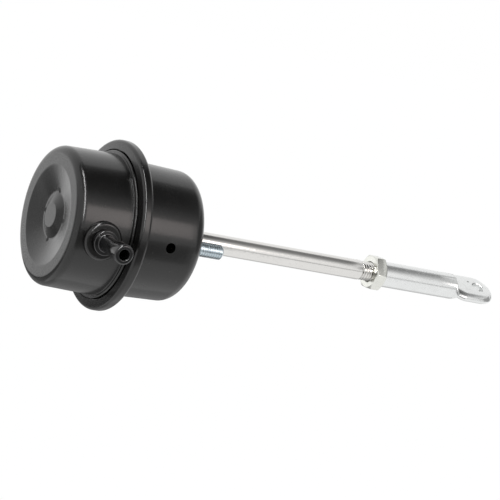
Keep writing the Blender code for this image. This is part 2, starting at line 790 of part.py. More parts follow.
def piston_cup(steel):
    """The cup behind the diaphragm that holds the spring's moving end."""
    corners = [
        (CUP_RADIUS, CUP_FRONT + CUP_DEPTH, 0.0),
        (CUP_RADIUS, CUP_FRONT, CUP_CORNER),
        (STUB_CLEAR_RADIUS, CUP_FRONT, 0.0),
    ]
    return turned("piston_cup", corners, steel, closed=False, wall=CUP_SHEET,
                  steps=INNER_STEPS)


def spring_path():
    """Points of the coil's centre line, with closed turns at both ends."""
    start = CUP_BACK + GAP + SPRING_WIRE / 2
    end = PLATE_FRONT - GAP - SPRING_WIRE / 2
    end_rise = SPRING_WIRE * SPRING_END_PITCH * SPRING_END_TURNS
    open_turns = SPRING_TURNS - 2 * SPRING_END_TURNS
    open_rise = end - start - 2 * end_rise
    points = []
    count = round(SPRING_TURNS * SPRING_STEPS_PER_TURN)
    for step in range(count + 1):
        turns = SPRING_TURNS * step / count
        if turns <= SPRING_END_TURNS:
            along = end_rise * (turns / SPRING_END_TURNS) ** 2
        elif turns >= SPRING_TURNS - SPRING_END_TURNS:
            rest = SPRING_TURNS - turns
            along = end - start - end_rise * (rest / SPRING_END_TURNS) ** 2
        else:
            along = end_rise + open_rise * (turns - SPRING_END_TURNS) / open_turns
        angle = 2 * math.pi * turns
        points.append((
            start + along,
            SPRING_RADIUS * math.cos(angle),
            SPRING_RADIUS * math.sin(angle),
        ))
    return points


def return_spring(steel):
    """The coil spring between the piston cup and the stud plate."""
    curve = bpy.data.curves.new("return_spring", "CURVE")
    curve.dimensions = "3D"
    curve.bevel_depth = SPRING_WIRE / 2
    curve.bevel_resolution = 2
    curve.use_fill_caps = True
    points = spring_path()
    spline = curve.splines.new("POLY")
    spline.points.add(len(points) - 1)
    for point, place in zip(spline.points, points):
        point.co = (*place, 1.0)
    curve.materials.append(steel)
    coil = bpy.data.objects.new("return_spring", curve)
    bpy.data.collections[PARTS_COLLECTION].objects.link(coil)
    return coil


def plain_rings(materials):
    """The washers, rings, seal and sleeve, which are all plain turned rings."""
    sleeve_outer = ROD_CLEAR_RADIUS + SLEEVE_WALL
    washer_back = LOCK_WASHER_FRONT + LOCK_WASHER_THICKNESS
    retainer_back = RETAINER_FRONT + RETAINER_THICKNESS
    seal_front = BUSH_FRONT + GAP / 2
    push_ring_front = RECESS_FLOOR + GAP
    sizes = {
        "lock_washer": (STUB_CLEAR_RADIUS, LOCK_WASHER_DIAMETER / 2, LOCK_WASHER_FRONT,
                        washer_back, 0.0, "inner_steel"),
        "diaphragm_plate": (STUB_CLEAR_RADIUS, RETAINER_RADIUS, RETAINER_FRONT,
                            retainer_back, RETAINER_EDGE, "inner_steel"),
        "backing_washer": (STUB_CLEAR_RADIUS, BACKING_RADIUS, BACKING_FRONT,
                           BACKING_BACK, 0.0, "inner_steel"),
        "stop_sleeve": (ROD_CLEAR_RADIUS, sleeve_outer, BACKING_BACK + GAP, SLEEVE_END,
                        0.0, "inner_steel"),
        "wiper_seal": (ROD_CLEAR_RADIUS, ROD_CLEAR_RADIUS + SEAL_WALL, seal_front,
                       seal_front + SEAL_LENGTH, 0.0, "seal_felt"),
        "seal_retainer": (ROD_CLEAR_RADIUS + GAP, BUSH_DIAMETER / 2, SEAL_RETAINER_FRONT,
                          SEAL_RETAINER_BACK, 0.0, "inner_steel"),
        "bush_retainer": (BUSH_CLEAR_RADIUS, PUSH_RING_RADIUS, push_ring_front,
                          push_ring_front + PUSH_RING_THICKNESS, 0.0, "inner_steel"),
    }
    rings = {}
    for name, (inner, outer, front, back, edge, finish) in sizes.items():
        corners = ring_corners(inner, outer, front, back, edge)
        rings[name] = turned(name, corners, materials[finish])
    return rings


def add_empty(name, parent=None):
    """An empty on the rod's axis that carries one moving group."""
    empty = bpy.data.objects.new(name, None)
    empty.empty_display_size = CAN_RADIUS
    bpy.data.collections[PARTS_COLLECTION].objects.link(empty)
    empty.parent = parent
    return empty


def carry(empty, shapes):
    """Parent shapes to an empty at the origin, so that they stay where they are."""
    for shape in shapes:
        shape.parent = empty


def shade(shapes):
    """Shade the shapes smooth, with sharp edges where faces meet at an angle."""
    for shape in shapes:
        if shape.type != "MESH":
            continue
        shape.data.shade_smooth()
        shape.data.set_sharp_from_angle(angle=math.radians(SHARP_ANGLE))


def build_actuator():
    """Build every piece and parent it to the empty of its moving group."""
    clear_scene()
    new_collection(PARTS_COLLECTION)
    new_collection(CUTTER_COLLECTION)
    paint = black_paint()
    inner = inner_steel()
    materials = {"inner_steel": inner, "seal_felt": seal_felt()}
    rings = plain_rings(materials)
    zinc = bright_zinc()
    studs = [mounting_stud(name, side, zinc) for name, side in STUD_SIDES.items()]
    fixed = [
        spring_can(paint),
        pressure_cap(paint),
        nipple_boss(paint),
        hose_nipple(gloss_black()),
        stud_plate(inner),
        guide_bush(bush_bronze()),
        diaphragm(black_rubber()),
        return_spring(spring_steel()),
        rings["wiper_seal"],
        rings["seal_retainer"],
        rings["bush_retainer"],
    ] + studs
    sliding = [
        push_rod(polished_steel()),
        piston_cup(inner),
        rod_nut(inner),
        rings["lock_washer"],
        rings["diaphragm_plate"],
        rings["backing_washer"],
        rings["stop_sleeve"],
    ]
    nut = jam_nut(nickel_plate())
    end = rod_end(satin_steel())
    shade(fixed + sliding + [nut, end])
    can_frame = add_empty("can_frame")
    rod_slide = add_empty("rod_slide", can_frame)
    nut_turn = add_empty("jam_nut_turn", rod_slide)
    end_turn = add_empty("rod_end_turn", rod_slide)
    carry(can_frame, fixed)
    carry(rod_slide, sliding)
    carry(nut_turn, [nut])
    carry(end_turn, [end])


build_actuator()
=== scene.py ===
"""Looks of a wastegate actuator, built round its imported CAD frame.

Every length is in metres, in the frame's own axes. The push rod lies along X with its eye
towards +X, the hose nipple and the front stud point towards -Y, and the origin is where the
rod's axis meets the can's mounting face.
"""

from __future__ import annotations

import logging
import math
from dataclasses import dataclass, field
from enum import Enum
from typing import Callable, Iterable, Sequence

import bmesh
import bpy
from mathutils import Matrix, Vector

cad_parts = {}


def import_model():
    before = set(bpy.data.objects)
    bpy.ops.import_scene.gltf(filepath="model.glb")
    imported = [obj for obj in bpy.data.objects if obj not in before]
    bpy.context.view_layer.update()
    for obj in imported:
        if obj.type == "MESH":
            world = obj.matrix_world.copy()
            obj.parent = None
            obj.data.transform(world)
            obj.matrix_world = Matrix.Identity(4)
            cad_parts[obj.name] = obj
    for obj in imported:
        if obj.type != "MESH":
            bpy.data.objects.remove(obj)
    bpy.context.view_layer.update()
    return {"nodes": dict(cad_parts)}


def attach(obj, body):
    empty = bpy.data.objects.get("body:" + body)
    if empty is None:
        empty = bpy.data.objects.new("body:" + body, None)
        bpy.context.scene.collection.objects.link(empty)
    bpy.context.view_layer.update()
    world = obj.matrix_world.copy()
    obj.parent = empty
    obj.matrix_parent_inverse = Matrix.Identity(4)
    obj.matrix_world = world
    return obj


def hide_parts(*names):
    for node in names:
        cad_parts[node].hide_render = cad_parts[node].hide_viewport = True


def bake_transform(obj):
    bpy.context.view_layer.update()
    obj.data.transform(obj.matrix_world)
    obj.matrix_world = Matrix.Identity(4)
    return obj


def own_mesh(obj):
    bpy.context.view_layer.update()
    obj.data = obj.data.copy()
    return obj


LOG = logging.getLogger("actuator")
MERGE = 1e-7
OVERCUT = 0.001
ARC_STEP = 0.0001
ROUNDING_ROOM = 0.495
SHARP_ANGLE = math.radians(34)
WHITE = (1.0, 1.0, 1.0)


class Line(Enum):
    """A line that round pieces are turned about, named for what lies on it."""

    ROD = "rod"
    NIPPLE = "nipple"
    FRONT_STUD = "front stud"
    REAR_STUD = "rear stud"
    VENT = "vent"


class Body(Enum):
    """A moving body of the actuator."""

    CAN = "can"
    ROD = "rod"
    NUT = "nut"
    END = "end"


@dataclass(frozen=True)
class Layout:
    """Sizes and places that several sub-assemblies share."""

    sheet: float = 0.0009
    cap_face: float = -0.0550
    flange_back: float = -0.0276
    cap_radius: float = 0.0265
    cap_foot_radius: float = 0.0272
    can_radius: float = 0.0261
    can_end_radius: float = 0.0252
    flange_radius: float = 0.03275
    nipple_station: float = -0.0436
    nipple_drop: float = 0.0014
    vent_station: float = -0.0148
    stud_offset: float = 0.0160
    rod_radius: float = 0.0040
    rod_end_start: float = 0.0944
    eye_station: float = 0.1430
    gap: float = 0.0003

    def placing(self, line: Line) -> Matrix:
        """Place a piece that was turned about +X on one of the actuator's lines.

        Args:
            line: The line that the piece's own X axis is laid along.

        Returns:
            The matrix that carries the turned piece to its place.
        """
        to_side = Matrix.Rotation(math.radians(-90), 4, "Z")
        places = {
            Line.ROD: Matrix.Identity(4),
            Line.NIPPLE: Matrix.Translation(
                (self.nipple_station, 0, -self.nipple_drop)) @ to_side,
            Line.VENT: Matrix.Translation((self.vent_station, 0, 0)) @ to_side,
            Line.FRONT_STUD: Matrix.Translation((0, -self.stud_offset, 0)),
            Line.REAR_STUD: Matrix.Translation((0, self.stud_offset, 0)),
        }
        return places[line]


@dataclass(frozen=True)
class Corner:
    """One corner of a turned outline: its station, its radius and how far it is rounded."""

    station: float
    radius: float
    rounding: float = 0.0


class Outline:
    """A turned piece's outline, with rounded corners."""

    def __init__(self, corners: Sequence[Corner], closed: bool = False, steps: int = 8) -> None:
        """Keep the corners.

        Args:
            corners: The corners in order along the outline.
            closed: Whether the last corner joins the first.
            steps: The most straight pieces that one rounding is made of.
        """
        self.corners = list(corners)
        self.closed = closed
        self.steps = steps

    def _arc(self, before: Vector, corner: Vector, after: Vector, rounding: float) -> list[Vector]:
        """Round one corner.

        Args:
            before: The corner before it.
            corner: The corner itself.
            after: The corner after it.
            rounding: The wanted radius of the arc.

        Returns:
            The arc's points, or the corner alone where it isn't rounded.
        """
        to_before = (before - corner).normalized()
        to_after = (after - corner).normalized()
        half = to_before.angle(to_after) / 2
        if rounding <= 0 or half > math.radians(89):
            return [corner]
        room = ROUNDING_ROOM * min((before - corner).length, (after - corner).length)
        tangent = min(rounding / math.tan(half), room)
        limited = tangent * math.tan(half)
        centre = corner + (to_before + to_after).normalized() * (limited / math.sin(half))
        start = corner + to_before * tangent - centre
        sweep = start.angle_signed(corner + to_after * tangent - centre)
        count = max(2, min(self.steps, round(limited * abs(sweep) / ARC_STEP)))
        return [
            centre + Matrix.Rotation(-sweep * step / count, 2) @ start
            for step in range(count + 1)
        ]

    def points(self, piece: float = 0.0) -> list[Vector]:
        """Work out the outline's points.

        Args:
            piece: The longest straight stretch to leave, or 0 to leave them all.

        Returns:
            Points whose x is the station and whose y is the radius.
        """
        places = [Vector((corner.station, corner.radius)) for corner in self.corners]
        found: list[Vector] = []
        for index, place in enumerate(places):
            if not self.closed and index in (0, len(places) - 1):
                found.append(place)
                continue
            after = places[(index + 1) % len(places)]
            found.extend(self._arc(places[index - 1], place, after, self.corners[index].rounding))
        if piece <= 0:
            return found
        fine = [found[0]]
        for start, end in zip(found, found[1:]):
            count = max(1, math.ceil((end - start).length / piece))
            fine.extend(start.lerp(end, step / count) for step in range(1, count + 1))
        return fine


def into_object(name: str, work: bmesh.types.BMesh) -> bpy.types.Object:
    """Turn a bmesh into an object of the scene.

    Args:
        name: The name of the object and of its mesh.
        work: The finished bmesh, which is freed.

    Returns:
        The new object, at the origin.
    """
    mesh = bpy.data.meshes.new(name)
    work.to_mesh(mesh)
    work.free()
    made = bpy.data.objects.new(name, mesh)
    bpy.context.scene.collection.objects.link(made)
    return made


def finished_mesh(made: bpy.types.Object) -> bpy.types.Mesh:
    """Make a new mesh from a curve, or from a mesh with its modifiers applied.

    Args:
        made: The object that it is made from.

    Returns:
        The new mesh.
    """
    bpy.context.view_layer.update()
    graph = bpy.context.evaluated_depsgraph_get()
    return bpy.data.meshes.new_from_object(made.evaluated_get(graph))


class Workshop:
    """Makes meshes with bmesh operators and finishes them as pieces."""

    def __init__(self, layout: Layout) -> None:
        """Keep the layout that pieces are placed by."""
        self.layout = layout

    def piece(self, name: str, work: bmesh.types.BMesh, line: Line = Line.ROD) -> bpy.types.Object:
        """Turn a bmesh into an object with its place in its mesh.

        Args:
            name: The object's name.
            work: The finished bmesh, which is freed.
            line: The line that the mesh is laid on.

        Returns:
            The new object, at the origin.
        """
        bmesh.ops.transform(work, matrix=self.layout.placing(line), verts=work.verts[:])
        return into_object(name, work)

    def spin_outline(
        self, work: bmesh.types.BMesh, points: Sequence[Vector], closed: bool, steps: int,
        start: float = 0.0,
    ) -> None:
        """Add a surface turned about +X to a bmesh.

        Args:
            work: The bmesh that gets the surface.
            points: The outline, station by radius.
            closed: Whether the outline's last point joins its first.
            steps: How many steps the full turn has.
            start: The angle of the first step, from +Z, in degrees.
        """
        turn = Matrix.Rotation(math.radians(start), 4, "X")
        verts = [work.verts.new(turn @ Vector((point.x, 0, point.y))) for point in points]
        edges = [work.edges.new(pair) for pair in zip(verts, verts[1:])]
        if closed:
            edges.append(work.edges.new((verts[-1], verts[0])))
        bmesh.ops.spin(
            work, geom=verts + edges, axis=(1, 0, 0), cent=(0, 0, 0), dvec=(0, 0, 0),
            angle=math.tau, steps=steps, use_merge=True, use_duplicate=False,
        )
        bmesh.ops.remove_doubles(work, verts=work.verts[:], dist=MERGE)
        bmesh.ops.recalc_face_normals(work, faces=work.faces[:])

    def turned(
        self, name: str, outline: Outline, line: Line = Line.ROD, steps: int = 96,
        fine: float = 0.0,
    ) -> bpy.types.Object:
        """Turn an outline into a piece.

        Args:
            name: The piece's name.
            outline: Its outline.
            line: The line that it is turned about.
            steps: How many steps the full turn has.
            fine: The longest straight stretch of the outline to leave, or 0.

        Returns:
            The new piece.
        """
        work = bmesh.new()
        self.spin_outline(work, outline.points(fine), outline.closed, steps)
        return self.piece(name, work, line)

    def sheet_metal(self, made: bpy.types.Object, thickness: float) -> None:
        """Give an open surface an inner wall.

        Args:
            made: The piece, with its faces pointing outwards.
            thickness: The wall's thickness.
        """
        wall = made.modifiers.new("wall", "SOLIDIFY")
        wall.thickness = thickness
        wall.offset = -1.0
        wall.use_even_offset = True
        self.settle(made)

    def settle(self, made: bpy.types.Object) -> None:
        """Apply a piece's modifiers to its mesh.

        Args:
            made: The piece.
        """
        mesh = finished_mesh(made)
        made.modifiers.clear()
        made.data = mesh

    def cut(self, made: bpy.types.Object, cutters: Iterable[bpy.types.Object]) -> None:
        """Cut a piece by cutters, which are then removed.

        Args:
            made: The piece to cut.
            cutters: Closed shapes that are taken out of it.
        """
        tools = list(cutters)
        for tool in tools:
            step = made.modifiers.new("cut", "BOOLEAN")
            step.operation = "DIFFERENCE"
            step.solver = "EXACT"
            step.object = tool
        self.settle(made)
        for tool in tools:
            bpy.data.objects.remove(tool, do_unlink=True)

    def drill(self, radius: float, start: float, end: float,
              line: Line = Line.ROD) -> bpy.types.Object:
        """Make a drill-shaped cutter that reaches a little past both ends of its hole.

        Args:
            radius: The hole's radius.
            start: Where the hole begins along the line.
            end: Where it ends.
            line: The line that it is drilled along.

        Returns:
            The cutter.
        """
        first, last = start - OVERCUT, end + OVERCUT
        corners = [Corner(first, 0), Corner(first, radius), Corner(last, radius), Corner(last, 0)]
        return self.turned("drill", Outline(corners), line, steps=64)

    def smooth(self, made: bpy.types.Object, angle: float = SHARP_ANGLE) -> None:
        """Shade a piece smooth, with sharp edges where its faces meet at more than an angle."""
        made.data.shade_smooth()
        made.data.set_sharp_from_angle(angle=angle)

    def thread(
        self, work: bmesh.types.BMesh, radius: float, pitch: float, depth: float,
        span: tuple[float, float], chamfer: tuple[float, float], steps: int = 48,
    ) -> None:
        """Add a threaded bar along +X to a bmesh, closed at both ends.

        Args:
            work: The bmesh that gets the bar.
            radius: The crest's radius.
            pitch: The distance that one turn advances.
            depth: How deep the thread is cut.
            span: Where the bar begins and ends.
            chamfer: How far each end is turned down at 45 degrees.
            steps: How many steps each turn has.
        """
        own = bmesh.new()
        start, end = span
        root = radius - depth
        flank_foot, flank_top = 0.07, 0.42
        shape = [
            (0, root), (flank_foot, root), (flank_top, radius),
            (1 - flank_top, radius), (1 - flank_foot, root), (1, root),
        ]
        verts = [own.verts.new((start - 2 * pitch + x * pitch, 0, r)) for x, r in shape]
        edges = [own.edges.new(pair) for pair in zip(verts, verts[1:])]
        turns = math.ceil((end - start) / pitch) + 3
        bmesh.ops.spin(
            own, geom=verts + edges, axis=(1, 0, 0), cent=(0, 0, 0),
            dvec=(pitch / steps, 0, 0), angle=math.tau * turns, steps=steps * turns,
            use_merge=False, use_duplicate=False,
        )
        bmesh.ops.remove_doubles(own, verts=own.verts[:], dist=1e-6)
        for place, side in ((start, -1), (end, 1)):
            cut = bmesh.ops.bisect_plane(
                own, geom=own.verts[:] + own.edges[:] + own.faces[:], dist=1e-7,
                plane_co=(place, 0, 0), plane_no=(side, 0, 0), clear_outer=True,
            )
            rim = [edge for edge in cut["geom_cut"] if isinstance(edge, bmesh.types.BMEdge)]
            bmesh.ops.holes_fill(own, edges=rim, sides=0)
        for vert in own.verts:
            spare = min(
                vert.co.x - start + radius - chamfer[0], end - vert.co.x + radius - chamfer[1])
            across = math.hypot(vert.co.y, vert.co.z)
            if across > spare > 0:
                vert.co.y *= spare / across
                vert.co.z *= spare / across
        bmesh.ops.recalc_face_normals(own, faces=own.faces[:])
        made = bpy.data.meshes.new("thread")
        own.to_mesh(made)
        own.free()
        work.from_mesh(made)
        bpy.data.meshes.remove(made)


class Value:
    """A number or colour that varies over a surface, with Python's arithmetic on numbers."""

    def __init__(self, nodes: "Nodes", socket: bpy.types.NodeSocket) -> None:
        """Wrap a socket of a tree of nodes."""
        self.nodes = nodes
        self.socket = socket

    def _with(self, operation: str, first: object, second: object) -> "Value":
        """Add a Math node on two values.

        Args:
            operation: The Math node's operation.
            first: A value or number.
            second: A value or number.

        Returns:
            The node's result.
        """
        node = self.nodes.node(
            "ShaderNodeMath", {"operation": operation}, {0: first, 1: second})
        return Value(self.nodes, node.outputs[0])

    def __add__(self, other: object) -> "Value":
        """Add."""
        return self._with("ADD", self, other)

    __radd__ = __add__

    def __sub__(self, other: object) -> "Value":
        """Subtract."""
        return self._with("SUBTRACT", self, other)

    def __rsub__(self, other: object) -> "Value":
        """Subtract from a number."""
        return self._with("SUBTRACT", other, self)

    def __mul__(self, other: object) -> "Value":
        """Multiply."""
        return self._with("MULTIPLY", self, other)

    __rmul__ = __mul__

    def __pow__(self, other: object) -> "Value":
        """Raise to a power."""
        return self._with("POWER", self, other)

    def between(self, low: float, high: float) -> "Value":
        """Rise smoothly from 0 to 1 as this value passes from low to high.

        Args:
            low: Where the rise starts.
            high: Where it ends, which may be below low.

        Returns:
            The share, from 0 to 1.
        """
        node = self.nodes.node(
            "ShaderNodeMapRange", {"interpolation_type": "SMOOTHSTEP"},
            {"Value": self, "From Min": min(low, high), "From Max": max(low, high)})
        rise = Value(self.nodes, node.outputs[0])
        return rise if low <= high else 1 - rise


class Nodes:
    """A tree of shader nodes, with one method that adds any of them."""

    def __init__(self, tree: bpy.types.NodeTree) -> None:
        """Keep the tree that nodes are added to."""
        self.tree = tree

    def node(self, kind: str, settings: dict | None = None,
             inputs: dict | None = None) -> bpy.types.Node:
        """Add a node.

        Args:
            kind: The node's type.
            settings: Its own properties, set first, or a ramp's stops.
            inputs: Values or links of its sockets, by name or number.

        Returns:
            The node.
        """
        made = self.tree.nodes.new(kind)
        for key, value in (settings or {}).items():
            if key == "stops":
                self._set_stops(made.color_ramp, value)
            else:
                setattr(made, key, value)
        for key, value in (inputs or {}).items():
            self.feed(made.inputs[key], value)
        return made

    def _set_stops(self, ramp: bpy.types.ColorRamp, stops: Sequence[tuple[float, tuple]]) -> None:
        """Give a ramp its stops.

        Args:
            ramp: The ramp to change.
            stops: Pairs of a position and a colour.
        """
        while len(ramp.elements) < len(stops):
            ramp.elements.new(0.5)
        for element, (position, colour) in zip(ramp.elements, stops):
            element.position = position
            element.color = (*colour, 1.0)

    def feed(self, socket: bpy.types.NodeSocket, value: object) -> None:
        """Set a socket to a number or colour, or link a value to it.

        Args:
            socket: The socket.
            value: A Value, a number, a vector or a colour.
        """
        if isinstance(value, Value):
            self.tree.links.new(value.socket, socket)
        elif isinstance(value, tuple) and len(value) == 3 and socket.type == "RGBA":
            socket.default_value = (*value, 1.0)
        else:
            socket.default_value = value

    def mix(self, share: Value, first: object, second: object) -> Value:
        """Mix two colours.

        Args:
            share: How much of the second colour shows.
            first: A colour or a value.
            second: A colour or a value.

        Returns:
            The mixed colour.
        """
        node = self.node(
            "ShaderNodeMix", {"data_type": "RGBA"}, {0: share, 6: first, 7: second})
        return Value(self, node.outputs[2])

    def seen_share(self) -> Value:
        """Tell the rays that show a background from the rays that light the object.

        Returns:
            1 for rays that the camera, gloss or glass sends, and 0 for the rest.
        """
        outputs = self.node("ShaderNodeLightPath").outputs
        seen = Value(self, outputs["Is Camera Ray"])
        gloss = Value(self, outputs["Is Glossy Ray"])
        glass = Value(self, outputs["Is Transmission Ray"])
        return (seen + gloss + glass).between(0.0, 1.0)


class Graph(Nodes):
    """A material's nodes, with the patterns that the finishes are made of."""

    def __init__(self, name: str) -> None:
        """Make a material with a plain Principled shader.

        Args:
            name: The material's name.
        """
        self.material = bpy.data.materials.new(name)
        self.material.use_nodes = True
        super().__init__(self.material.node_tree)
        self.shader = self.tree.nodes["Principled BSDF"]
        self._place: Value | None = None

    def place(self) -> Value:
        """Give the point's place in the actuator's own frame.

        Returns:
            The place in metres.
        """
        if self._place is None:
            node = self.node("ShaderNodeTexCoord")
            self._place = Value(self, node.outputs["Object"])
        return self._place

    def stretched(self, scale: tuple[float, float, float]) -> Value:
        """Give the point's place, scaled along each axis.

        Args:
            scale: How much each axis is drawn out in the pattern.

        Returns:
            The mapped place.
        """
        node = self.node("ShaderNodeMapping", {}, {"Vector": self.place(), "Scale": scale})
        return Value(self, node.outputs[0])

    def axes(self) -> tuple[Value, Value, Value]:
        """Give the point's X, Y and Z as three numbers."""
        node = self.node("ShaderNodeSeparateXYZ", {}, {0: self.place()})
        return tuple(Value(self, output) for output in node.outputs)

    def from_axis(self, line: Line, layout: Layout) -> Value:
        """Give the distance from one of the lines that pieces are turned about.

        Args:
            line: The line.
            layout: The layout that says where it lies.

        Returns:
            The distance in metres.
        """
        along, side, up = self.axes()
        if line is Line.NIPPLE:
            first = along - layout.nipple_station
            up = up + layout.nipple_drop
        elif line is Line.FRONT_STUD:
            first = side + layout.stud_offset
        elif line is Line.REAR_STUD:
            first = side - layout.stud_offset
        else:
            first = side
        return (first * first + up * up) ** 0.5

    def noise(self, scale: float, detail: float = 3.0, roughness: float = 0.55,
              where: Value | None = None) -> Value:
        """Give a cloudy noise.

        Args:
            scale: Features in each metre.
            detail: How many finer layers it has.
            roughness: How strong the finer layers are.
            where: The place that it is read at, or the point's own.

        Returns:
            The noise, from 0 to 1.
        """
        node = self.node(
            "ShaderNodeTexNoise", {},
            {"Vector": where or self.place(), "Scale": scale, "Detail": detail,
             "Roughness": roughness})
        return Value(self, node.outputs[0])

    def specks(self, scale: float, size: float) -> Value:
        """Give sparse round specks.

        Args:
            scale: Cells in each metre.
            size: A speck's radius as a share of its cell.

        Returns:
            A mask, 1 in the specks.
        """
        node = self.node("ShaderNodeTexVoronoi", {}, {"Vector": self.place(), "Scale": scale})
        return Value(self, node.outputs["Distance"]).between(size, size * 0.5)

    def bump(self, height: Value, distance: float, strength: float = 1.0,
             under: Value | None = None) -> Value:
        """Turn a height into a bumped normal.

        Args:
            height: The height, from 0 to 1.
            distance: What a height of 1 stands for, in metres.
            strength: How much of it shows.
            under: A normal that it is added to.

        Returns:
            The normal.
        """
        inputs: dict = {"Height": height, "Distance": distance, "Strength": strength}
        if under is not None:
            inputs["Normal"] = under
        node = self.node("ShaderNodeBump", {}, inputs)
        return Value(self, node.outputs[0])

    def surface(self, **sockets: object) -> bpy.types.Material:
        """Set the Principled shader's sockets.

        Args:
            **sockets: Values by the socket's name in small letters with underscores.

        Returns:
            The finished material.
        """
        for key, value in sockets.items():
            name = key.replace("_", " ").title().replace("Ior", "IOR")
            self.feed(self.shader.inputs[name], value)
        return self.material


@dataclass(frozen=True)
class SatinBlack:
    """Baked satin black paint on pressed steel, with dust and faint orange peel."""

    layout: Layout
    name: str = "black_paint"
    low: tuple[float, float, float] = (0.0032, 0.0031, 0.0029)
    high: tuple[float, float, float] = (0.0055, 0.0053, 0.0050)
    dust: tuple[float, float, float] = (0.16, 0.155, 0.15)
    roughness: float = 0.26
    band_inside: tuple[float, float] = (0.0188, 0.0196)
    band_outside: tuple[float, float] = (0.0240, 0.0228)
    band_face: tuple[float, float] = (-0.0535, -0.0546)

    def material(self) -> bpy.types.Material:
        """Build the paint's material.

        Returns:
            The material.
        """
        graph = Graph(self.name)
        along = graph.axes()[0]
        radius = graph.from_axis(Line.ROD, self.layout)
        cloud = graph.noise(160, 4)
        peel = graph.noise(900, 2, 0.4)
        grit = graph.noise(5200, 2, 0.7)
        band = radius.between(*self.band_inside) * radius.between(*self.band_outside)
        band = band * along.between(*self.band_face)
        stipple = graph.noise(2600, 1, 0.5).between(0.52, 0.72) * band
        specks = graph.specks(330, 0.055) + graph.specks(760, 0.05)
        colour = graph.mix(cloud, self.low, self.high)
        colour = graph.mix(stipple * 0.22, colour, self.dust)
        colour = graph.mix(specks * 0.55, colour, self.dust)
        rough = cloud * 0.08 + grit * 0.05 + (self.roughness - 0.065) + stipple * 0.12
        normal = graph.bump(peel, 0.000012)
        normal = graph.bump(grit, 0.0000022, 1.0, normal)
        normal = graph.bump(stipple, 0.00003, 1.0, normal)
        return graph.surface(
            base_color=colour, roughness=rough, normal=normal, specular_ior_level=0.38,
            coat_weight=0.32, coat_roughness=0.13)


@dataclass(frozen=True)
class GlossBlack:
    """Glossier black finish on the turned nipple, with faint turning marks and smudges in its
    gloss.
    """

    name: str = "gloss_black"
    low: tuple[float, float, float] = (0.004, 0.0042, 0.0045)
    high: tuple[float, float, float] = (0.009, 0.0093, 0.0097)

    def material(self) -> bpy.types.Material:
        """Build the finish's material.

        Returns:
            The material.
        """
        graph = Graph(self.name)
        cloud = graph.noise(420, 4)
        turning = graph.noise(1.0, 2, 0.5, graph.stretched((300, 9000, 300)))
        smudge = graph.noise(900, 3, 0.6).between(0.5, 0.75)
        colour = graph.mix(cloud, self.low, self.high)
        rough = 0.10 + smudge * 0.08 + turning * 0.04
        normal = graph.bump(turning, 0.000006)
        return graph.surface(
            base_color=colour, roughness=rough, normal=normal, specular_ior_level=0.7)


@dataclass(frozen=True)
class Plating:
    """A bright metal finish: plated, drawn, turned or ground."""

    name: str
    low: tuple[float, float, float]
    high: tuple[float, float, float]
    roughness: float
    grain: tuple[float, float, float]
    grain_depth: float
    stain: float = 0.10

    def material(self) -> bpy.types.Material:
        """Build the finish's material.

        Returns:
            The material.
        """
        graph = Graph(self.name)
        cloud = graph.noise(210, 4)
        grain = graph.noise(1.0, 3, 0.6, graph.stretched(self.grain))
        patch = graph.noise(700, 3, 0.65).between(0.48, 0.74)
        pits = graph.specks(900, 0.06)
        colour = graph.mix(cloud, self.low, self.high)
        colour = graph.mix(patch * self.stain, colour, tuple(part * 0.55 for part in self.low))
        colour = graph.mix(pits * 0.35, colour, tuple(part * 0.4 for part in self.low))
        rough = grain * 0.10 + patch * 0.10 + (self.roughness - 0.08)
        normal = graph.bump(grain, self.grain_depth)
        normal = graph.bump(pits, -0.000004, 1.0, normal)
        return graph.surface(
            base_color=colour, roughness=rough, metallic=1.0, normal=normal)


@dataclass(frozen=True)
class Soft:
    """A dull soft finish: rubber or felt."""

    name: str
    low: tuple[float, float, float]
    high: tuple[float, float, float]
    scale: float
    depth: float
    roughness: float = 0.8

    def material(self) -> bpy.types.Material:
        """Build the finish's material.

        Returns:
            The material.
        """
        graph = Graph(self.name)
        cloud = graph.noise(self.scale * 0.1, 3)
        fine = graph.noise(self.scale, 4, 0.7)
        colour = graph.mix(cloud, self.low, self.high)
        rough = fine * 0.12 + (self.roughness - 0.06)
        normal = graph.bump(fine, self.depth)
        return graph.surface(
            base_color=colour, roughness=rough, normal=normal)


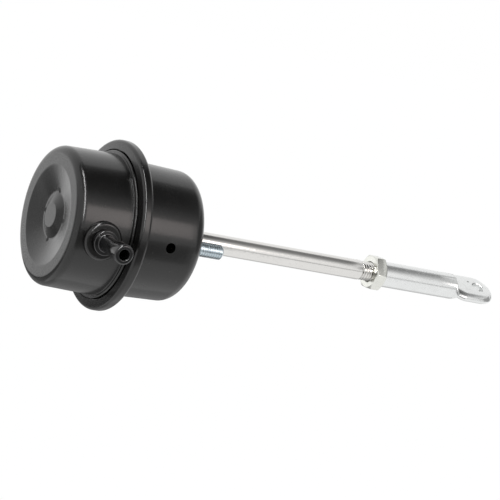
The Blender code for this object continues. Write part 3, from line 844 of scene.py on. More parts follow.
@dataclass
class Finishes:
    """Every finish of the actuator, built once."""

    layout: Layout
    made: dict[str, bpy.types.Material] = field(default_factory=dict)

    def build(self) -> None:
        """Build the materials."""
        drawn = (26.0, 5200.0, 5200.0)
        turned = (9000.0, 260.0, 260.0)
        kinds = [
            SatinBlack(self.layout),
            GlossBlack(),
            Plating("bright_zinc", (0.62, 0.69, 0.73), (0.76, 0.82, 0.85), 0.27,
                    (2400.0, 2400.0, 2400.0), 0.000004),
            Plating("polished_steel", (0.70, 0.69, 0.67), (0.76, 0.75, 0.73), 0.15,
                    drawn, 0.0000012, 0.05),
            Plating("nickel_plate", (0.70, 0.705, 0.66), (0.79, 0.795, 0.75), 0.24,
                    (1500.0, 1500.0, 1500.0), 0.000003, 0.08),
            Plating("satin_steel", (0.74, 0.75, 0.745), (0.82, 0.83, 0.825), 0.23,
                    drawn, 0.0000016, 0.06),
            Plating("inner_steel", (0.48, 0.47, 0.43), (0.58, 0.57, 0.53), 0.36,
                    turned, 0.000003, 0.2),
            Plating("spring_steel", (0.14, 0.14, 0.15), (0.22, 0.22, 0.23), 0.34,
                    (1800.0, 1800.0, 1800.0), 0.000005, 0.2),
            Plating("bush_bronze", (0.40, 0.27, 0.13), (0.52, 0.37, 0.18), 0.42,
                    turned, 0.000003, 0.2),
            Soft("black_rubber", (0.020, 0.020, 0.020), (0.034, 0.033, 0.032), 2400.0,
                 0.00002, 0.72),
            Soft("seal_felt", (0.66, 0.63, 0.56), (0.82, 0.80, 0.73), 5200.0, 0.00006, 0.9),
        ]
        for kind in kinds:
            self.made[kind.name] = kind.material()
            LOG.info("finish %s", kind.name)

    def coat(self, made: bpy.types.Object, finish: str, node: str) -> None:
        """Give a new piece its finish and hide the CAD node that it stands for.

        Args:
            made: The piece.
            finish: The finish's name.
            node: The name of the CAD node that it replaces.
        """
        made.data.materials.clear()
        made.data.materials.append(self.made[finish])
        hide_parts(node)
        LOG.info("piece %s: %s", made.name, finish)

    def dress(self, made: bpy.types.Object, finish: str, body: Body, node: str) -> None:
        """Give a new rigid piece its finish and the body that it moves with, and hide its CAD node.

        Args:
            made: The piece.
            finish: The finish's name.
            body: The body that it moves with.
            node: The name of the CAD node that it replaces.
        """
        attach(made, body.value)
        self.coat(made, finish, node)

    def repaint(self, node: bpy.types.Object, finish: str) -> None:
        """Give a CAD node that stays its finish.

        Args:
            node: The node's object.
            finish: The finish's name.
        """
        if not node.data.materials:
            node.data.materials.append(self.made[finish])
        for slot in node.material_slots:
            slot.material = self.made[finish]
        LOG.info("node %s: %s", node.name, finish)


@dataclass
class PressureCap:
    """The pressed cap: dished face, centre boss with notches, and a rolled step at its foot."""

    shop: Workshop
    finishes: Finishes
    band_inner: float = 0.0192
    near_notch: float = 1.4
    dish_play: float = 0.0004
    dish_floor: float = -0.0526
    dish_foot: float = 0.0092
    boss_base: float = 0.0086
    boss_top: float = 0.0047
    boss_face: float = -0.0540
    clamped_radius: float = 0.03155
    step_radius: float = 0.0284
    notch_ring: float = 0.0095
    notch_radius: float = 0.0010
    notch_depth: float = 0.0006
    flange: float = -0.0309
    step_rise: float = 0.0012
    step_rounding: float = 0.0006
    edge_rounding: float = 0.0032
    band_rounding: float = 0.0005
    dish_rounding: float = 0.0006
    boss_rounding: float = 0.0008
    tail_hole: float = 0.0034
    side_span: tuple[float, float] = (0.0200, 0.0300)

    def outline(self) -> Outline:
        """Give the cap's outer side, from its clamped edge to the middle of its face.

        Returns:
            The outline.
        """
        layout = self.shop.layout
        step_top = self.flange - self.step_rise - layout.sheet
        return Outline([
            Corner(self.flange, self.clamped_radius),
            Corner(self.flange, self.step_radius, 0.0002),
            Corner(step_top, self.step_radius, self.step_rounding),
            Corner(step_top, layout.cap_foot_radius, 0.0003),
            Corner(layout.cap_face, layout.cap_radius, self.edge_rounding),
            Corner(layout.cap_face, self.band_inner, self.band_rounding),
            Corner(self.dish_floor, self.dish_foot, self.dish_rounding),
            Corner(self.dish_floor, self.boss_base, self.dish_rounding),
            Corner(self.boss_face, self.boss_top, self.boss_rounding),
            Corner(self.boss_face, 0.0),
        ], steps=14)

    def notch(self, made: bpy.types.Object) -> None:
        """Press the four notches into the dish, close to the foot of the boss.

        Args:
            made: The cap, still a single sheet.
        """
        turns = [Matrix.Rotation(math.tau * index / 4, 3, "X") for index in range(4)]
        centres = [turn @ Vector((self.dish_floor, 0, self.notch_ring)) for turn in turns]
        work = bmesh.new()
        work.from_mesh(made.data)
        near = [
            edge for edge in work.edges
            if min((vert.co - centre).length for vert in edge.verts for centre in centres)
            < self.notch_radius * self.near_notch
        ]
        bmesh.ops.subdivide_edges(work, edges=near, cuts=2, use_grid_fill=True)
        for vert in work.verts:
            for centre in centres:
                away = vert.co - centre
                away.x = 0
                share = away.length / self.notch_radius
                if share < 1 and vert.co.x < self.dish_floor + self.dish_play:
                    vert.co.x += self.notch_depth * (1 - share * share) ** 1.5
        work.to_mesh(made.data)
        work.free()

    def build(self) -> None:
        """Build and dress the cap."""
        layout = self.shop.layout
        cap = self.shop.turned("cap", self.outline(), steps=256, fine=0.0006)
        self.notch(cap)
        self.shop.sheet_metal(cap, layout.sheet)
        self.shop.cut(cap, [self.shop.drill(self.tail_hole, *self.side_span, Line.NIPPLE)])
        self.shop.smooth(cap)
        self.finishes.dress(cap, "black_paint", Body.CAN, "pressure_cap")


@dataclass
class SpringCan:
    """The pressed can with its mounting end, vent hole and folded flange."""

    shop: Workshop
    finishes: Finishes
    bush_hole: float = 0.0063
    recess_floor: float = -0.0018
    recess_radius: float = 0.0094
    end_rounding: float = 0.0054
    lip_radius: float = 0.0290
    lip_front: float = -0.0321
    lip_lean: float = 0.0004
    lip_rounding: float = 0.0014
    fold_rounding: float = 0.0013
    foot_rounding: float = 0.0012
    vent_hole: float = 0.0020
    side_span: tuple[float, float] = (0.0230, 0.0300)
    stud_hole: float = 0.00325
    end_span: tuple[float, float] = (-0.0030, 0.0030)

    def build(self) -> None:
        """Build and dress the can."""
        layout = self.shop.layout
        outline = Outline([
            Corner(self.recess_floor, self.bush_hole),
            Corner(self.recess_floor, self.recess_radius, 0.0003),
            Corner(0.0, self.recess_radius),
            Corner(0.0, layout.can_end_radius, self.end_rounding),
            Corner(layout.flange_back, layout.can_radius, self.foot_rounding),
            Corner(layout.flange_back, layout.flange_radius, self.fold_rounding),
            Corner(self.lip_front + self.lip_lean, layout.flange_radius, self.lip_rounding),
            Corner(self.lip_front, self.lip_radius),
        ], steps=16)
        can = self.shop.turned("can", outline, steps=256, fine=0.003)
        self.shop.sheet_metal(can, layout.sheet)
        self.shop.cut(can, [
            self.shop.drill(self.vent_hole, *self.side_span, Line.VENT),
            self.shop.drill(self.stud_hole, *self.end_span, Line.FRONT_STUD),
            self.shop.drill(self.stud_hole, *self.end_span, Line.REAR_STUD),
        ])
        self.shop.smooth(can)
        self.finishes.dress(can, "black_paint", Body.CAN, "spring_can")


@dataclass
class Nipple:
    """The brazed collar on the cap's side and the turned nipple in it."""

    shop: Workshop
    finishes: Finishes
    collar_radius: float = 0.0074
    collar_top: float = 0.0287
    collar_foot: float = 0.0199
    collar_rounding: float = 0.0013
    bore: float = 0.00205
    neck: float = 0.0031
    hub_radius: float = 0.0048
    hub_top: float = 0.0309
    barb_radius: float = 0.00375
    barb_foot: float = 0.0412
    barb_step: float = 0.0008
    reach: float = 0.0474
    tail: float = 0.0245

    def collar(self) -> None:
        """Build the collar, its foot shaped to the cap's side."""
        layout = self.shop.layout
        outline = Outline([
            Corner(self.collar_top, self.collar_radius, self.collar_rounding),
            Corner(self.collar_foot, self.collar_radius),
            Corner(self.collar_foot, self.neck + layout.gap),
            Corner(self.collar_top, self.neck + layout.gap),
        ], closed=True, steps=10)
        collar = self.shop.turned("collar", outline, Line.NIPPLE, 128)
        saddle = self.shop.turned("saddle", Outline([
            Corner(layout.flange_back, 0.0),
            Corner(layout.flange_back, layout.cap_foot_radius),
            Corner(layout.cap_face, layout.cap_radius),
            Corner(layout.cap_face, 0.0),
        ]), Line.ROD, 256)
        self.shop.cut(collar, [saddle])
        self.shop.smooth(collar)
        self.finishes.dress(collar, "black_paint", Body.CAN, "nipple_boss")

    def spigot(self) -> None:
        """Build the turned nipple."""
        hub_foot = self.collar_top + self.shop.layout.gap
        outline = Outline([
            Corner(self.reach, self.bore, 0.0003),
            Corner(self.reach, self.barb_radius, 0.0008),
            Corner(self.barb_foot + self.barb_step, self.barb_radius, 0.0003),
            Corner(self.barb_foot, self.neck, 0.0002),
            Corner(self.hub_top, self.neck, 0.0005),
            Corner(self.hub_top, self.hub_radius, 0.0004),
            Corner(hub_foot, self.hub_radius, 0.0001),
            Corner(hub_foot, self.neck),
            Corner(self.tail, self.neck),
            Corner(self.tail, self.bore),
        ], closed=True, steps=8)
        spigot = self.shop.turned("nipple", outline, Line.NIPPLE, 96)
        self.shop.smooth(spigot)
        self.finishes.dress(spigot, "gloss_black", Body.CAN, "hose_nipple")

    def build(self) -> None:
        """Build both pieces."""
        self.collar()
        self.spigot()


@dataclass
class Studs:
    """The two threaded studs."""

    shop: Workshop
    finishes: Finishes
    radius: float = 0.00295
    length: float = 0.0117
    pitch: float = 0.0010
    depth: float = 0.00055
    chamfer: float = 0.0007
    crease: float = 50.0
    thread_start: float = -0.0029
    head_radius: float = 0.0037
    head_back: float = -0.0030
    head_front: float = -0.0044

    def build(self) -> None:
        """Build and dress both studs."""
        lines = {"mounting_stud_front": Line.FRONT_STUD, "mounting_stud_rear": Line.REAR_STUD}
        for index, (node, line) in enumerate(lines.items()):
            work = bmesh.new()
            self.shop.thread(
                work, self.radius, self.pitch, self.depth,
                (self.thread_start, self.length), (0.0, self.chamfer))
            self.shop.spin_outline(work, Outline([
                Corner(self.head_back, 0.0),
                Corner(self.head_back, self.head_radius, 0.0001),
                Corner(self.head_front, self.head_radius, 0.0003),
                Corner(self.head_front, 0.0),
            ]).points(), False, 48)
            stud = self.shop.piece("stud_" + str(index + 1), work, line)
            self.shop.smooth(stud, math.radians(self.crease))
            self.finishes.dress(stud, "bright_zinc", Body.CAN, node)


@dataclass
class PushRod:
    """The polished rod with its threaded outer end and its shouldered inner end."""

    shop: Workshop
    finishes: Finishes
    thread_radius: float = 0.00385
    pitch: float = 0.00125
    depth: float = 0.0007
    chamfer: float = 0.0007
    edge: float = 0.0005
    thread_inside: float = 0.0006
    shoulder: float = -0.0412
    smooth_end: float = 0.0845
    tip: float = 0.1144
    stub_radius: float = 0.00295
    stub_end: float = -0.0514

    def build(self) -> None:
        """Build and dress the rod."""
        layout = self.shop.layout
        work = bmesh.new()
        self.shop.thread(
            work, self.thread_radius, self.pitch, self.depth,
            (self.smooth_end - self.thread_inside, self.tip), (0.0, self.chamfer))
        self.shop.spin_outline(work, Outline([
            Corner(self.smooth_end, 0.0),
            Corner(self.smooth_end, layout.rod_radius - self.edge),
            Corner(self.smooth_end - self.edge, layout.rod_radius, 0.0003),
            Corner(self.shoulder, layout.rod_radius, 0.0002),
            Corner(self.shoulder, self.stub_radius),
            Corner(self.stub_end + self.chamfer, self.stub_radius),
            Corner(self.stub_end, self.stub_radius - self.chamfer),
            Corner(self.stub_end, 0.0),
        ]).points(0.012), False, 128)
        rod = self.shop.piece("rod", work)
        self.shop.smooth(rod)
        self.finishes.dress(rod, "polished_steel", Body.ROD, "push_rod")


@dataclass
class JamNut:
    """The thin hexagon nut."""

    shop: Workshop
    finishes: Finishes
    front: float = 0.0891
    back: float = 0.0941
    half_flats: float = 0.0065
    face_share: float = 0.965
    bore: float = 0.00395
    mouth: float = 0.00045
    clock: float = 27.0
    blank: float = 0.0200
    steps: int = 144
    corner_fall: float = 30.0
    edge: float = 0.00028
    crease: float = 24.0

    def build(self) -> None:
        """Build the nut by turning it and drawing its side out to six flats."""
        face = self.half_flats * self.face_share
        points = [
            Vector((self.front, self.bore + self.mouth)), Vector((self.front, face)),
            Vector((self.front, self.blank)), Vector((self.back, self.blank)),
            Vector((self.back, face)), Vector((self.back, self.bore + self.mouth)),
            Vector((self.back - self.mouth, self.bore)),
            Vector((self.front + self.mouth, self.bore)),
        ]
        work = bmesh.new()
        self.shop.spin_outline(work, points, True, self.steps, self.clock)
        for vert in work.verts:
            across = math.hypot(vert.co.y, vert.co.z)
            if across < self.blank / 2:
                continue
            turn = math.degrees(math.atan2(vert.co.z, vert.co.y)) - 90 - self.clock
            off_flat = math.radians((turn % 60) - 30)
            reach = self.half_flats / math.cos(off_flat)
            fall = (reach - face) * math.tan(math.radians(self.corner_fall))
            vert.co.y *= reach / across
            vert.co.z *= reach / across
            vert.co.x += fall if vert.co.x < (self.front + self.back) / 2 else -fall
        bmesh.ops.recalc_face_normals(work, faces=work.faces[:])
        hard = [edge for edge in work.edges if edge.is_manifold
                and edge.calc_face_angle(0) > math.radians(self.crease)
                and min(math.hypot(v.co.y, v.co.z) for v in edge.verts) > self.half_flats * 0.99]
        bmesh.ops.bevel(
            work, geom=hard, offset=self.edge, offset_type="OFFSET", affect="EDGES",
            segments=2, profile=0.5, material=-1, clamp_overlap=True,
        )
        nut = self.shop.piece("nut", work)
        self.shop.smooth(nut, math.radians(self.crease))
        self.finishes.dress(nut, "nickel_plate", Body.NUT, "jam_nut")


@dataclass
class RodEnd:
    """The adjustable end: a round bar pressed into a flat eye, with its two holes."""

    shop: Workshop
    finishes: Finishes
    bar_radius: float = 0.0052
    half_width: float = 0.0077
    half_thickness: float = 0.00194
    round_side: float = 0.0029
    eye_bore: float = 0.0025
    flat_behind: float = 0.0114
    ramp: float = 0.0019
    spread: float = 0.0036
    side_at_flat: float = 0.0044
    tip_behind: float = 0.0003
    tip_turn: float = 82.0
    clock: float = 25.0
    edge: float = 0.0005
    share_at_flat: float = 0.5
    crease: float = 28.0
    ramp_steps: int = 12
    spread_steps: int = 6
    tip_steps: int = 22
    per_corner: int = 12
    pin_reach: float = 0.0045
    pin_flare: float = 0.00265
    bore_edge: float = 0.0003
    punch_radius: float = 0.0014
    punch_depth: float = 0.0004
    punch_over: float = 0.0006
    punch_behind: float = 0.0039
    punch_aside: float = 0.0026
    thread_bore: float = 0.00415
    thread_depth: float = 0.0215

    def sections(self) -> list[tuple[float, float, float, float]]:
        """List the bar's sections.

        Returns:
            Each section's station, half width, half thickness and width of a round side.
        """
        layout = self.shop.layout
        start, bar = layout.rod_end_start, self.bar_radius
        narrow = bar - self.edge
        found = [(start, narrow, narrow, bar), (start + self.edge, bar, bar, bar)]
        flat = layout.eye_station - self.flat_behind
        ramp_start = flat - self.ramp
        found += [(start + (ramp_start - start) * part / 4, bar, bar, bar) for part in (1, 2, 3)]
        spread = bar + (self.half_width - bar) * self.share_at_flat
        for step in range(self.ramp_steps + 1):
            share = step / self.ramp_steps
            ease = share * share * (3 - 2 * share) * 0.5 + share * 0.5
            thick = bar + (self.half_thickness - bar) * ease
            wide = bar + (spread - bar) * (1 - (1 - share) ** 2)
            side = bar + (self.side_at_flat - bar) * share
            found.append((ramp_start + self.ramp * share, wide, thick, side))
        for step in range(1, self.spread_steps + 1):
            share = step / self.spread_steps
            ease = 1 - (1 - share) ** 2
            wide = spread + (self.half_width - spread) * ease
            side = self.side_at_flat + (self.round_side - self.side_at_flat) * share
            found.append((flat + self.spread * share, wide, self.half_thickness, side))
        return found + self.tip_sections()

    def tip_sections(self) -> list[tuple[float, float, float, float]]:
        """List the sections of the rounded tip.

        Returns:
            Each section's station, half width, half thickness and width of a round side.
        """
        found = []
        flat_radius = self.half_width - self.round_side
        for step in range(self.tip_steps + 1):
            turn = math.radians(self.tip_turn * (step / self.tip_steps) ** 0.8)
            past = self.half_width * math.sin(turn)
            wide = self.half_width * math.cos(turn)
            flat = math.sqrt(max(0.0, flat_radius ** 2 - past ** 2))
            fall = max(0.0, past - flat_radius) / self.round_side
            station = self.shop.layout.eye_station - self.tip_behind + past
            thick = self.half_thickness * math.sqrt(1 - fall ** 2)
            found.append((station, wide, thick, wide - flat))
        return found

    def ring(self, work: bmesh.types.BMesh, section: tuple[float, float, float, float]) -> list:
        """Add one section's ring, made from a circle whose quarters are drawn apart.

        Args:
            work: The bmesh that gets the ring.
            section: Its station, half width, half thickness and width of a round side.

        Returns:
            The ring's edges.
        """
        station, wide, thick, side = section
        across = min(side, wide * 0.999)
        deep = thick * 0.999
        count = self.per_corner * 4
        turned = Matrix.Rotation(math.radians(180 / count), 4, "Z")
        made = bmesh.ops.create_circle(
            work, cap_ends=False, radius=1.0, segments=count, matrix=turned)
        verts = made["verts"]
        for vert in verts:
            out_x = math.copysign(wide - across, vert.co.x) + vert.co.x * across
            out_y = math.copysign(thick - deep, vert.co.y) + vert.co.y * deep
            vert.co = Vector((station, out_x, out_y))
        edges = {edge for vert in verts for edge in vert.link_edges}
        return list(edges)

    def build(self) -> None:
        """Build and dress the rod end."""
        layout = self.shop.layout
        work = bmesh.new()
        rings = [self.ring(work, section) for section in self.sections()]
        for low, high in zip(rings, rings[1:]):
            bmesh.ops.bridge_loops(work, edges=low + high)
        for rim in (rings[0], rings[-1]):
            bmesh.ops.holes_fill(work, edges=rim, sides=0)
        bmesh.ops.recalc_face_normals(work, faces=work.faces[:])
        turn = Matrix.Rotation(math.radians(self.clock), 4, "X")
        bmesh.ops.transform(work, matrix=turn, verts=work.verts[:])
        end = self.shop.piece("eye", work)
        across = Matrix.Rotation(math.radians(-90), 4, "Y")
        flare = self.eye_bore + self.pin_flare
        narrow = self.half_thickness - self.bore_edge
        pin = self.shop.turned("pin", Outline([
            Corner(-self.pin_reach, 0.0), Corner(-self.pin_reach, flare),
            Corner(-narrow, self.eye_bore), Corner(narrow, self.eye_bore),
            Corner(self.pin_reach, flare), Corner(self.pin_reach, 0.0),
        ]), steps=64)
        pin.data.transform(turn @ Matrix.Translation((layout.eye_station, 0, 0)) @ across)
        over = self.half_thickness + self.punch_over
        punch = self.shop.turned("punch", Outline([
            Corner(self.half_thickness - self.punch_depth, 0.0),
            Corner(over, self.punch_radius),
            Corner(over, 0.0),
        ]), steps=24)
        mark = (layout.eye_station - self.punch_behind, self.punch_aside, 0)
        punch.data.transform(turn @ Matrix.Translation(mark) @ across)
        start = layout.rod_end_start
        bore = self.shop.drill(self.thread_bore, start, start + self.thread_depth)
        self.shop.cut(end, [pin, punch, bore])
        self.shop.smooth(end, math.radians(self.crease))
        self.finishes.dress(end, "satin_steel", Body.END, "rod_end")


@dataclass
class ReturnSpring:
    """The coil spring, built at one length and moving with the can."""

    shop: Workshop
    finishes: Finishes
    wire: float = 0.0026
    turns: float = 6.5
    end_turns: float = 0.75
    end_pitch: float = 1.12
    coil_radius: float = 0.01061
    start: float = -0.0427
    end: float = -0.0030
    travel: float = 0.012
    per_turn: int = 48
    crease: float = 60.0

    def along(self, turn: float) -> float:
        """Work out how far the wire has come along the rod.

        Args:
            turn: How many turns it has made.

        Returns:
            The distance from its start.
        """
        length = self.end - self.start - self.wire
        rise = self.wire * self.end_pitch * self.end_turns
        rest = self.turns - turn
        if turn <= self.end_turns:
            return rise * (turn / self.end_turns) ** 2
        if rest <= self.end_turns:
            return length - rise * (rest / self.end_turns) ** 2
        open_turns = self.turns - 2 * self.end_turns
        return rise + (length - 2 * rise) * (turn - self.end_turns) / open_turns

    def build(self) -> None:
        """Build and dress the spring."""
        curve = bpy.data.curves.new("spring", "CURVE")
        curve.dimensions = "3D"
        curve.bevel_depth = self.wire / 2
        curve.bevel_resolution = 4
        curve.use_fill_caps = True
        count = round(self.turns * self.per_turn)
        spline = curve.splines.new("POLY")
        spline.points.add(count)
        for index, point in enumerate(spline.points):
            turn = self.turns * index / count
            angle = math.tau * turn
            point.co = (
                self.start + self.wire / 2 + self.along(turn),
                self.coil_radius * math.cos(angle), self.coil_radius * math.sin(angle), 1.0)
        made = bpy.data.objects.new("spring_curve", curve)
        bpy.context.scene.collection.objects.link(made)
        mesh = finished_mesh(made)
        bpy.data.objects.remove(made)
        spring = bpy.data.objects.new("spring", mesh)
        bpy.context.scene.collection.objects.link(spring)
        self.shop.smooth(spring, math.radians(self.crease))
        self.finishes.dress(spring, "spring_steel", Body.CAN, "return_spring")
        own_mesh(spring)


@dataclass
class Diaphragm:
    """The rolling diaphragm, from its bead at the can's flange in to its hole at the rod."""

    shop: Workshop
    finishes: Finishes
    thickness: float = 0.0009
    hole: float = 0.00325
    inner: float = 0.0208
    outer: float = 0.02475
    bead_edge: float = 0.03155
    piston_side: float = -0.0443
    bead: float = -0.0288
    roll_foot: float = -0.0245
    roll_share: float = 0.98
    piston_rounding: float = 0.0023
    bead_rounding: float = 0.0024
    still_from: float = -0.0300
    carried_from: float = -0.0430

    def build(self) -> None:
        """Build and dress the diaphragm."""
        roll = (self.outer - self.inner) / 2
        roll_end = self.roll_foot + roll
        outline = Outline([
            Corner(self.piston_side, self.hole),
            Corner(self.piston_side, self.inner, self.piston_rounding),
            Corner(roll_end, self.inner, roll * self.roll_share),
            Corner(roll_end, self.outer, roll * self.roll_share),
            Corner(self.bead, self.outer, self.bead_rounding),
            Corner(self.bead, self.bead_edge),
        ], steps=10)
        rubber = self.shop.turned("rolling_diaphragm", outline, steps=96, fine=0.0015)
        self.shop.sheet_metal(rubber, self.thickness)
        self.shop.smooth(rubber)
        self.finishes.coat(rubber, "black_rubber", "diaphragm")
        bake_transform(rubber)


@dataclass
class InnerMetal:
    """The hidden CAD nodes that stay as they are and only get their finish."""

    finishes: Finishes
    nodes: dict[str, bpy.types.Object]

    def build(self) -> None:
        """Dress the CAD nodes that stay."""
        kept = dict.fromkeys((
            "stud_plate", "bush_retainer", "seal_retainer", "piston_cup", "rod_nut",
            "lock_washer", "diaphragm_plate", "backing_washer", "stop_sleeve",
        ), "inner_steel")
        kept |= {"guide_bush": "bush_bronze", "wiper_seal": "seal_felt"}
        for name, finish in kept.items():
            self.finishes.repaint(self.nodes[name], finish)


def glow(graph: Graph, colour: object) -> bpy.types.Material:
    """Make a material that only glows.

    Args:
        graph: The material's nodes.
        colour: A colour, or a value that varies.

    Returns:
        The material.
    """
    return graph.surface(
        base_color=(0, 0, 0), roughness=1.0, specular_ior_level=0.0,
        emission_color=colour, emission_strength=1.0)


def hang(card: bpy.types.Object, material: bpy.types.Material) -> None:
    """Give a card its glow, and hide it from everything but glossy rays.

    Args:
        card: The card.
        material: Its glow.
    """
    card.data.materials.append(material)
    card.visible_camera = False
    card.visible_diffuse = False
    card.visible_shadow = False
    card.visible_transmission = False


@dataclass(frozen=True)
class Arch:
    """A card bent round the rod's axis that only reflections see, with its greys by angle."""

    name: str
    start: float
    end: float
    away: float
    span: tuple[float, float]
    greys: tuple[tuple[float, float], ...]

    def build(self) -> None:
        """Build the arch; angles rise from the viewer's side at 0 to overhead at 90."""
        work = bmesh.new()
        first = math.radians(self.start)
        places = [(x, -self.away * math.cos(first), self.away * math.sin(first)) for x in self.span]
        verts = [work.verts.new(place) for place in places]
        edge = work.edges.new(verts)
        bmesh.ops.spin(
            work, geom=[*verts, edge], axis=(-1, 0, 0), cent=(0, 0, 0), dvec=(0, 0, 0),
            angle=math.radians(self.end - self.start), steps=24, use_merge=False,
            use_duplicate=False,
        )
        graph = Graph(self.name)
        side, up = graph.axes()[1:]
        turn = graph.node(
            "ShaderNodeMath", {"operation": "ARCTAN2"}, {0: up, 1: side * -1.0})
        reach = self.end - self.start
        share = (Value(graph, turn.outputs[0]) * (180 / math.pi) - self.start) * (1 / reach)
        stops = [((angle - self.start) / reach, (grey, grey, grey)) for angle, grey in self.greys]
        ramp = graph.node("ShaderNodeValToRGB", {"stops": stops}, {0: share})
        hang(into_object(self.name, work), glow(graph, Value(graph, ramp.outputs[0])))


@dataclass(frozen=True)
class Panel:
    """A flat glowing card that only reflections see; its grey is 1 where it is white."""

    name: str
    middle: tuple[float, float, float]
    toward: tuple[float, float, float]
    size: tuple[float, float]
    grey: float

    def build(self) -> None:
        """Build the panel, facing the point that it is turned toward."""
        work = bmesh.new()
        bmesh.ops.create_grid(work, x_segments=1, y_segments=1, size=0.5)
        facing = (Vector(self.toward) - Vector(self.middle)).to_track_quat("Z", "Y")
        place = Matrix.Translation(self.middle) @ facing.to_matrix().to_4x4()
        place = place @ Matrix.Diagonal((*self.size, 1, 1))
        bmesh.ops.transform(work, matrix=place, verts=work.verts[:])
        shade = (self.grey, self.grey, self.grey)
        hang(into_object(self.name, work), glow(Graph(self.name), shade))


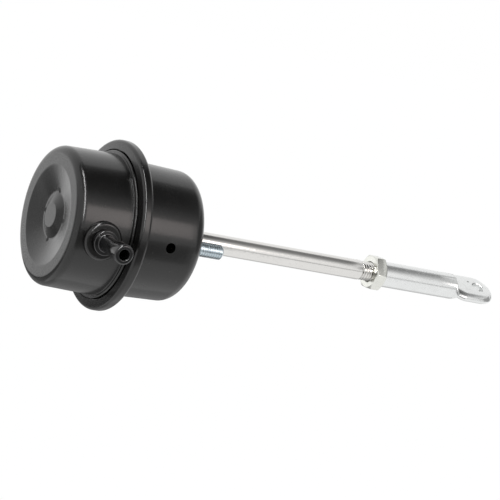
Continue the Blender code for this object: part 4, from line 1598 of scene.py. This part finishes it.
@dataclass
class Studio:
    """The white floor, the soft lamp, the reflected cards and the camera."""

    floor_height: float = -0.20
    floor_size: float = 4.0
    floor_colour: tuple[float, float, float] = (0.9, 0.9, 0.9)
    floor_share: float = 0.90
    floor_glow: float = 1.035
    camera_place: tuple[float, float, float] = (-0.3929, -0.7413, 0.1302)
    right: tuple[float, float, float] = (0.85547, -0.4492, 0.2576)
    up: tuple[float, float, float] = (-0.15309, 0.2558, 0.9545)
    back: tuple[float, float, float] = (-0.49471, -0.8560, 0.1500)
    sensor: float = 36.0
    lens: float = 158.4
    shift: tuple[float, float] = (-0.0112, 0.0014)
    fill: tuple[float, float, float] = (0.76, 0.77, 0.78)
    lamp_angle: float = 23.0
    lamp_away: float = 0.45
    lamp_span: tuple[float, float] = (0.08, 0.27)
    lamp_width: float = 0.20
    lamp_power: float = 0.30
    lamp_colour: tuple[float, float, float] = (1.0, 0.90, 0.87)

    def camera(self) -> None:
        """Set up the camera at the photograph's viewing angle."""
        data = bpy.data.cameras.new("camera")
        data.sensor_width = self.sensor
        data.lens = self.lens
        data.shift_x, data.shift_y = self.shift
        data.clip_start = 0.01
        data.clip_end = 20.0
        turn = Matrix((self.right, self.up, self.back)).transposed()
        camera = bpy.data.objects.new("camera", data)
        camera.matrix_world = Matrix.Translation(self.camera_place) @ turn.to_4x4()
        bpy.context.scene.collection.objects.link(camera)
        bpy.context.scene.camera = camera

    def softbox(self) -> None:
        """Hang a soft rectangular lamp beside the rod, turned up from the viewer's side."""
        data = bpy.data.lights.new("softbox", "AREA")
        data.shape = "RECTANGLE"
        data.size = self.lamp_span[1] - self.lamp_span[0]
        data.size_y = self.lamp_width
        data.energy = self.lamp_power
        data.color = self.lamp_colour
        lamp = bpy.data.objects.new("softbox", data)
        turn = Matrix.Rotation(math.radians(90 - self.lamp_angle), 4, "X")
        lamp.matrix_world = turn @ Matrix.Translation((sum(self.lamp_span) / 2, 0, self.lamp_away))
        bpy.context.scene.collection.objects.link(lamp)

    def cards(self) -> None:
        """Set up the cards that shape the reflections."""
        cards: list[Arch | Panel] = [
            Arch("over_can", 12, 107, 0.50, (-0.40, 0.285), (
                (12, 0.7), (18, 0.9), (30, 0.9), (44, 0.66), (59, 0.18), (75, 0.06), (92, 0.05),
                (107, 0.22))),
            Arch("over_rod", 21, 107, 0.50, (0.285, 0.478), (
                (21, 1.0), (33, 0.90), (45, 0.66), (56, 0.39), (68, 0.28), (82, 0.21), (97, 0.26),
                (107, 0.6))),
            Arch("over_eye", 12, 107, 0.50, (0.478, 0.70), (
                (12, 0.92), (60, 0.86), (84, 0.55), (107, 0.90))),
            Arch("front_can", -36, -2, 0.35, (-0.30, 0.205), (
                (-36, 0.55), (-27, 0.30), (-12, 0.20), (-2, 0.40))),
            Arch("front_rod", -12, -2, 0.35, (0.215, 0.50), ((-12, 0.6), (-2, 0.6))),
            Arch("under_can", -160, -100, 0.19, (-0.10, 0.108), ((-160, 0.24), (-100, 0.6))),
            Arch("under_rod", -160, -112, 0.19, (0.108, 0.30), ((-160, 0.42), (-112, 0.8))),
            Arch("edge_light", 15, 90, 0.47, (-0.17, -0.11), ((15, 18.0), (90, 18.0))),
            Panel("face_card", (-0.12, 0.43, -0.068), (-0.055, 0, 0), (0.40, 0.136), 1.25),
            Panel("lip_card", (-0.16, 0.42, -0.166), (-0.032, 0, -0.03), (0.56, 0.06), 0.10),
            Panel("low_card", (-0.20, 0.30, -0.19), (-0.20, 0.30, 0), (0.50, 0.30), 0.30),
            Panel("left_card", (-0.48, 0.26, -0.06), (-0.055, 0, 0), (0.24, 0.26), 0.55),
            Panel("right_card", (0.62, -0.16, 0.12), (0, 0, 0), (0.62, 0.50), 0.35),
            Panel("viewer_card", (-0.45, -0.70, -0.06), (-0.03, 0, 0), (0.30, 0.24), 0.15),
        ]
        for card in cards:
            card.build()

    def floor(self) -> None:
        """Lay the pale floor, white to the camera but for the actuator's soft shadow."""
        work = bmesh.new()
        bmesh.ops.create_grid(work, x_segments=1, y_segments=1, size=self.floor_size)
        bmesh.ops.translate(work, vec=(0, 0, self.floor_height), verts=work.verts[:])
        floor = into_object("floor", work)
        graph = Graph("floor")
        graph.surface(base_color=self.floor_colour, roughness=0.9, specular_ior_level=0.1)
        seen = graph.node("ShaderNodeEmission", {}, {"Color": WHITE, "Strength": self.floor_glow})
        blend = graph.node("ShaderNodeMixShader", {}, {
            0: graph.seen_share() * self.floor_share,
            1: Value(graph, graph.shader.outputs[0]),
            2: Value(graph, seen.outputs[0]),
        })
        output = graph.tree.nodes["Material Output"]
        graph.feed(output.inputs["Surface"], Value(graph, blend.outputs[0]))
        floor.data.materials.append(graph.material)

    def world(self) -> None:
        """Fill the room with soft light, and show it white behind the actuator."""
        world = bpy.data.worlds.new("room")
        world.use_nodes = True
        bpy.context.scene.world = world
        nodes = Nodes(world.node_tree)
        colour = nodes.mix(nodes.seen_share(), self.fill, WHITE)
        nodes.feed(world.node_tree.nodes["Background"].inputs["Color"], colour)

    def build(self) -> None:
        """Set up the whole studio."""
        self.camera()
        self.world()
        self.floor()
        self.softbox()
        self.cards()
        bpy.context.scene.view_settings.view_transform = "Standard"
        LOG.info("studio")


def main() -> None:
    """Build the looks in order and report each piece."""
    logging.basicConfig(level=logging.INFO, format="%(message)s")
    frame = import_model()
    layout = Layout()
    shop = Workshop(layout)
    finishes = Finishes(layout)
    finishes.build()
    builders: list[Callable[[], None]] = [
        PressureCap(shop, finishes).build,
        SpringCan(shop, finishes).build,
        Nipple(shop, finishes).build,
        Studs(shop, finishes).build,
        PushRod(shop, finishes).build,
        JamNut(shop, finishes).build,
        RodEnd(shop, finishes).build,
        ReturnSpring(shop, finishes).build,
        Diaphragm(shop, finishes).build,
        InnerMetal(finishes, frame["nodes"]).build,
        Studio().build,
    ]
    for build in builders:
        build()


if __name__ == "__main__":
    main()
